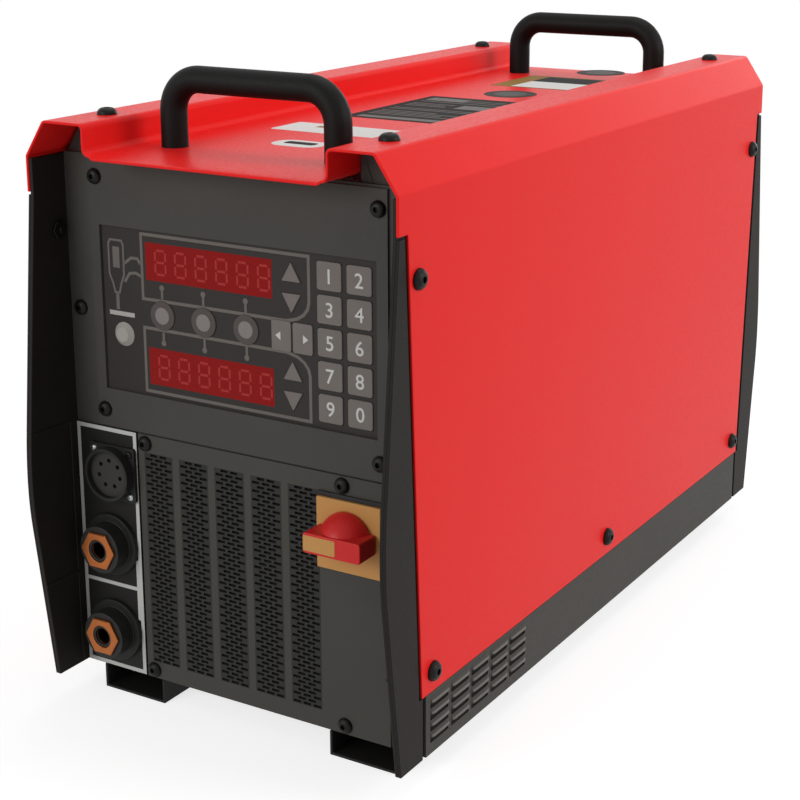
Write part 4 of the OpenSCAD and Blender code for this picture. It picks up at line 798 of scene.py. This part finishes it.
# A thin black moulded strip stands along the rosette's top edge, for the dark band there.
dark_strip_half, dark_strip_low, dark_strip_high, dark_strip_front = 26.8, 204.1, 207.6, -305
dark_strip = bmesh.new()
prism(dark_strip, rectangle(switch_x - dark_strip_half, dark_strip_low, switch_x + dark_strip_half, dark_strip_high), "y",
      dark_strip_front, panel_y)
soften(solid("switch_gasket", dark_strip, moulded_black, "socket_black"), width_mm=0.4, angle=50)
# Zinc plate: a cool grey metal with a slightly blurred shine.
plated = finish("zinc_plated_steel", "9a9b9c", "a6a7a8", patch_mm=8, grit_mm=0.8,
                depth_mm=0.01, Metallic=1.0, roughness=0.35)
dress(plated, "switch_shaft")


# Screws: button heads with a hexagon socket, in black oxide steel. One head of unit width is copied
# to each place, scaled by its diameter and turned along the axis that is stored with the place.
def head_mesh():
    """A button head one wide and a third high, with its socket, seat at z = 0."""
    sides, socket_r, sixth = 24, 0.18, math.pi / 3
    hexagon = []
    for i in range(sides):
        a = 2 * math.pi * i / sides
        reach = socket_r * math.cos(sixth / 2) / math.cos(a % sixth - sixth / 2)
        hexagon.append((reach * math.cos(a), reach * math.sin(a)))
    head_steps = ((0.5, 0.0), (0.5, 0.08), (0.48, 0.15), (0.43, 0.22), (0.36, 0.28), (0.28, 0.32))
    levels = [(circle(0, 0, r, sides), z) for r, z in head_steps] + [(hexagon, 0.33), (hexagon, 0.14)]
    work = bmesh.new()
    skin(work, [[work.verts.new((x, y, z)) for x, y in outline] for outline, z in levels])
    return closed(work, "button_head")


screw_tree, given = node_tree("button_screws", Copy="Object", Diameter="Float", Finish="Material")
axis = put(screw_tree, "GeometryNodeInputNamedAttribute", {"Name": "axis"}, data_type="FLOAT_VECTOR")
turned = put(screw_tree, "FunctionNodeAlignRotationToVector", {"Vector": axis.outputs[0]}, axis="Z")
head_of = put(screw_tree, "GeometryNodeObjectInfo", {"Object": given["Copy"]})
heads = put(screw_tree, "GeometryNodeInstanceOnPoints", {
    "Points": given["Geometry"], "Instance": head_of.outputs["Geometry"],
    "Rotation": turned.outputs[0], "Scale": given["Diameter"]})
end_tree(screw_tree, heads.outputs[0], given["Finish"])
button_head = head_mesh()


def screws(name, places, diameter, metal, stands_for=()):
    """Screw heads at places of (point, axis) in millimetres."""
    start = points_at(name, [point for point, way in places])
    ways = start.attributes.new("axis", "FLOAT_VECTOR", "POINT")
    for item, (point, way) in zip(ways.data, places):
        item.vector = way
    mesh = grown(name, screw_tree, start, button_head, Diameter=diameter / 1000, Finish=metal)
    return piece(name, mesh, None, "black_screw", stands_for=stands_for)


# Black oxide: a thin dark skin that still has some of the steel's gleam.
black_oxide = finish("black_oxide_steel", "191918", "232221", patch_mm=5, grit_mm=0.8,
                     depth_mm=0.01, Metallic=0.6, roughness=0.42)
both, front, back, up = (-1, 1), (0, -1, 0), (0, 1, 0), (0, 0, 1)
four = [(a, b) for a in both for b in both]
cover_head, panel_head, fan_head, socket_head = 15, 12, 9, 6
wall_screw_y, wall_screw_z, wing_screw_y, wing_screw_z = 292, 84, 311, 374
rail_screw_x, rail_screw_y = 123, 287
cover_places = [((side * wall_x, y, wall_screw_z), (side, 0, 0)) for side in both
                for y in (-wall_screw_y, 0, wall_screw_y)]
cover_places += [((side * wall_x, end * wing_screw_y, wing_screw_z), (side, 0, 0)) for side, end in four]
cover_places += [((side * rail_screw_x, end * rail_screw_y, rail_z), up) for side, end in four]
screws("cover_screw_heads", cover_places, cover_head, black_oxide, ["cover_screws"])
plate_screw_x, plate_screw_z, rear_screw_z = 124, (235.97, 416), (27.5, 423)
grille_screw_x, grille_screw_z = (-86.5, 92), (27.5, 214.22)
flange_screw_x, flange_screw_y, flange_screw_z = 145, 301, 312.9
panel_places = [((side * plate_screw_x, panel_y, z), front) for side in both for z in plate_screw_z]
panel_places += [((x, panel_y, z), front) for x in grille_screw_x for z in grille_screw_z]
panel_places += [((side * flange_screw_x, end * flange_screw_y, flange_screw_z), (0, end, 0))
                 for side, end in four]
panel_places += [((side * plate_screw_x, -panel_y, z), back) for side in both for z in rear_screw_z]
screws("panel_screw_heads", panel_places, panel_head, black_oxide, ["panel_screws"])
fan_y, fan_z, fan_hole = 305.4, 140, 70.4
fan_places = [((x * fan_hole, fan_y, fan_z + z * fan_hole), back) for x, z in four]
screws("fan_screw_heads", fan_places, fan_head, black_oxide)
socket_x, socket_y, socket_z, socket_hole = -118, -306, 186.094, 17.16
for name, way, metal in (("socket_screw_heads", -1, plated), ("socket_dark_screw_heads", 1, black_oxide)):
    screws(name, [((socket_x + socket_hole * x, socket_y, socket_z + socket_hole * way * x), front)
                  for x in both], socket_head, metal)
dress(black_oxide, "handle_bolts")
# Inside the wings the upper side screws end in hexagon nuts.
nut_r, nut_in, thread_r, thread_in, thread_out = 7.5, 152.5, 3, 150, 153
nuts = bmesh.new()
for side, end in four:
    for r, corner_count, near, far in ((nut_r, 6, nut_in, plate_in),
                                       (thread_r, 20, thread_in, thread_out)):
        prism(nuts, circle(end * wing_screw_y, wing_screw_z, r, corner_count), "x", side * near, side * far)
soften(solid("side_screw_nuts", nuts, black_oxide, "black_screw"), width_mm=0.4, angle=30)


# Fan at the rear: a moulded housing and rotor, screwed to the rear plate behind a wire guard.
# Moulded polyester: black, even and half matt.
fan_plastic = finish("black_moulded_pbt", "1a1a1a", "242423", patch_mm=20, grit_mm=1.5,
                     depth_mm=0.03, roughness=0.5, IOR=1.55)
dress(fan_plastic, "fan_frame", "fan_rotor")
# Chromed wire: bright, with a clear line of light round each ring.
wire = finish("chromed_wire", "b4b5b7", "bebfc0", patch_mm=6, grit_mm=0.8,
              depth_mm=0.005, Metallic=1.0, roughness=0.24)
dress(wire, "fan_guard")


# Power parts inside the closed case: a heatsink, boards, a transformer, a choke and bars, screwed
# to the pan and the frames. Extruded aluminium: pale grey, with a blurred metal shine.
extrusion = finish("extruded_aluminium", "b9babc", "c3c4c6", patch_mm=10, grit_mm=1.5,
                   depth_mm=0.02, Metallic=1.0, roughness=0.42)
dress(extrusion, "heatsink")
# Solder mask: a green lacquer with a soft gloss.
board = finish("green_solder_mask", "1d5336", "235c3d", patch_mm=8, grit_mm=2.0,
               depth_mm=0.02, roughness=0.4, IOR=1.5)
dress(board, "control_board", "power_board")
# Varnished core sheets: dark brown, with a fine roughness from their edges.
laminations = finish("varnished_laminations", "47413b", "524b44", patch_mm=12, grit_mm=1.0,
                     depth_mm=0.08, roughness=0.5, IOR=1.5)
dress(laminations, "transformer")
# Bare copper: a warm metal, dulled by handling.
copper = finish("bare_copper", "b06a3c", "bd7746", patch_mm=8, grit_mm=1.2,
                depth_mm=0.02, Metallic=1.0, roughness=0.4)
dress(copper, "output_choke", "busbars")


# Labels in the tray: printed films and discs without lettering, stuck to the coat. The black one has
# blank fields and ruled lines, the rear one a gold edge, and the small one round ends and a black bar.
def label(name, outlines, dark, light, lift=0.15, patch_mm=15):
    """A film that stands out of the tray by its lift. It is matt, so it shows its colour only."""
    work = bmesh.new()
    for outline in outlines:
        prism(work, outline, "z", tray_z, tray_z + lift)
    material = finish(name + "_film", dark, light, patch_mm=patch_mm, grit_mm=1.5,
                      depth_mm=0.02, roughness=0.6, specular=0.06, IOR=1.5)
    return solid(name, work, material, "lamp")


# A film is given by its middle, width, length and corner radius, or by two opposite corners.
label("white_label", [round_rect(-13, -144, 102, 42, 3)], "e0dfdc", "e8e7e4")
label("white_label_stripe", [rectangle(-37, -141, -14, -134)], "94703c", "a07b46", 0.25)
label("small_white_label", [round_rect(0, -216, 44, 27, 12)], "e0dfdc", "e8e7e4")
label("small_black_bar", [round_rect(0, -214, 27, 10, 3)], "171716", "201f1e", 0.25)
label("black_label", [round_rect(0, -3.5, 108, 147, 3)], "131312", "1c1b1a")
label("black_label_fields", [rectangle(-44, -71, 46, -61), rectangle(4, 6, 46, 26),
                             rectangle(-46, 44, -8, 60)], "5c5b58", "8a8986", 0.22, 5)
rule_x, rule_h = -46, 2.2
rule_ends = ((38, -50), (20, -43), (44, -36), (8, -29), (44, -16), (30, -9), (-6, 8), (-10, 15), (-4, 22),
             (44, 36), (42, 46), (30, 54))
label("black_label_rules", [rectangle(rule_x, y, x, y + rule_h) for x, y in rule_ends],
      "6a6966", "7a7976", 0.2, 4)
label("gold_label_edge", [round_rect(0, 210.5, 96, 89, 2)], "8a6a35", "96763f")
label("white_black_label", [rectangle(-27, 169, 43, 212)], "dcdbd8", "e4e3e0", 0.25)
label("black_label_half", [rectangle(-27, 212, 43, 250)], "131312", "1c1b1a", 0.25)
disc_places, disc_r, disc_middle_r = (117, 309), 24, 15
label("dark_discs", [circle(0, y, disc_r, 40) for y in disc_places], "2a2a28", "4a4946", 0.15, 9)
label("dark_disc_rings", [circle(0, y, disc_middle_r, 40) for y in disc_places],
      "4a4946", "6c6b67", 0.22, 5)


# Floor and light: a white sweep that fades into a white surround, and four soft lamps.
# The one at the right stands behind the front, so that it lights the wall and not the recess.
floor_half = 3
ground = bpy.data.meshes.new("floor")
ground.from_pydata([(x, y, 0) for x, y in rectangle(-floor_half, -floor_half, floor_half, floor_half)],
                   [], [(0, 1, 2, 3)])
floor = object_of("floor", ground)


def seen(tree, hidden, shown):
    """A strength for camera, mirror and glass rays, and another for the light that falls on things."""
    ray = put(tree, "ShaderNodeLightPath")
    most = put(tree, "ShaderNodeMath", {0: ray.outputs["Is Camera Ray"], 1: ray.outputs["Is Glossy Ray"]},
               operation="MAXIMUM")
    most = put(tree, "ShaderNodeMath", {0: most.outputs[0], 1: ray.outputs["Is Transmission Ray"]},
               operation="MAXIMUM")
    strength = put(tree, "ShaderNodeMapRange", {
        "Value": most.outputs[0], "To Min": hidden, "To Max": shown})
    return strength.outputs[0]


# Matt paper: it holds the shadow, and glows to the camera so that it meets the white surround.
paper = bpy.data.materials.new("white_paper")
tree = bare_tree(paper)
place = put(tree, "ShaderNodeTexCoord").outputs["Object"]
far = put(tree, "ShaderNodeVectorMath", {0: place}, operation="LENGTH")
fade = put(tree, "ShaderNodeMapRange", {"Value": far.outputs["Value"], "From Min": 0.5, "From Max": 1.5},
           interpolation_type="SMOOTHSTEP")
matt = put(tree, "ShaderNodeBsdfDiffuse", {"Color": (0.42, 0.42, 0.42, 1)})
floor_glow = seen(tree, hidden=0.2, shown=0.74)
glow = put(tree, "ShaderNodeEmission", {"Color": (1, 1, 1, 1), "Strength": floor_glow})
lit = put(tree, "ShaderNodeAddShader", {0: matt.outputs[0], 1: glow.outputs[0]})
clear = put(tree, "ShaderNodeBsdfTransparent")
shown = put(tree, "ShaderNodeMixShader", {0: fade.outputs[0], 1: lit.outputs[0], 2: clear.outputs[0]})
put(tree, "ShaderNodeOutputMaterial", {"Surface": shown.outputs[0]})
ground.materials.append(paper)

world = bpy.data.worlds.new("studio")
scene.world = world
tree = bare_tree(world)
sky_glow = seen(tree, hidden=0.4, shown=1.0)
sky = put(tree, "ShaderNodeBackground", {"Color": (1, 1, 1, 1), "Strength": sky_glow})
put(tree, "ShaderNodeOutputWorld", {"Surface": sky.outputs[0]})


def lamp(name, place, aim, size, power):
    """A round soft lamp, in metres and watts."""
    data = bpy.data.lights.new(name, "AREA")
    data.shape = "DISK"
    data.size = size
    data.energy = power
    made = object_of(name, data)
    made.location = place
    made.rotation_euler = (Vector(aim) - Vector(place)).to_track_quat("-Z", "Y").to_euler()


case_middle = (0, 0, 0.25)
lamp("overhead", (0.1, 0.3, 2.4), (0, 0, 0.2), size=1.6, power=12)
lamp("right", (2.4, 0.5, 1.2), case_middle, size=1.4, power=28)
lamp("front", (-0.9, -2.5, 1.1), case_middle, size=1.4, power=25)
lamp("rear", (0, 2.7, 0.7), case_middle, size=1.2, power=12)
scene.view_settings.view_transform = "Standard"
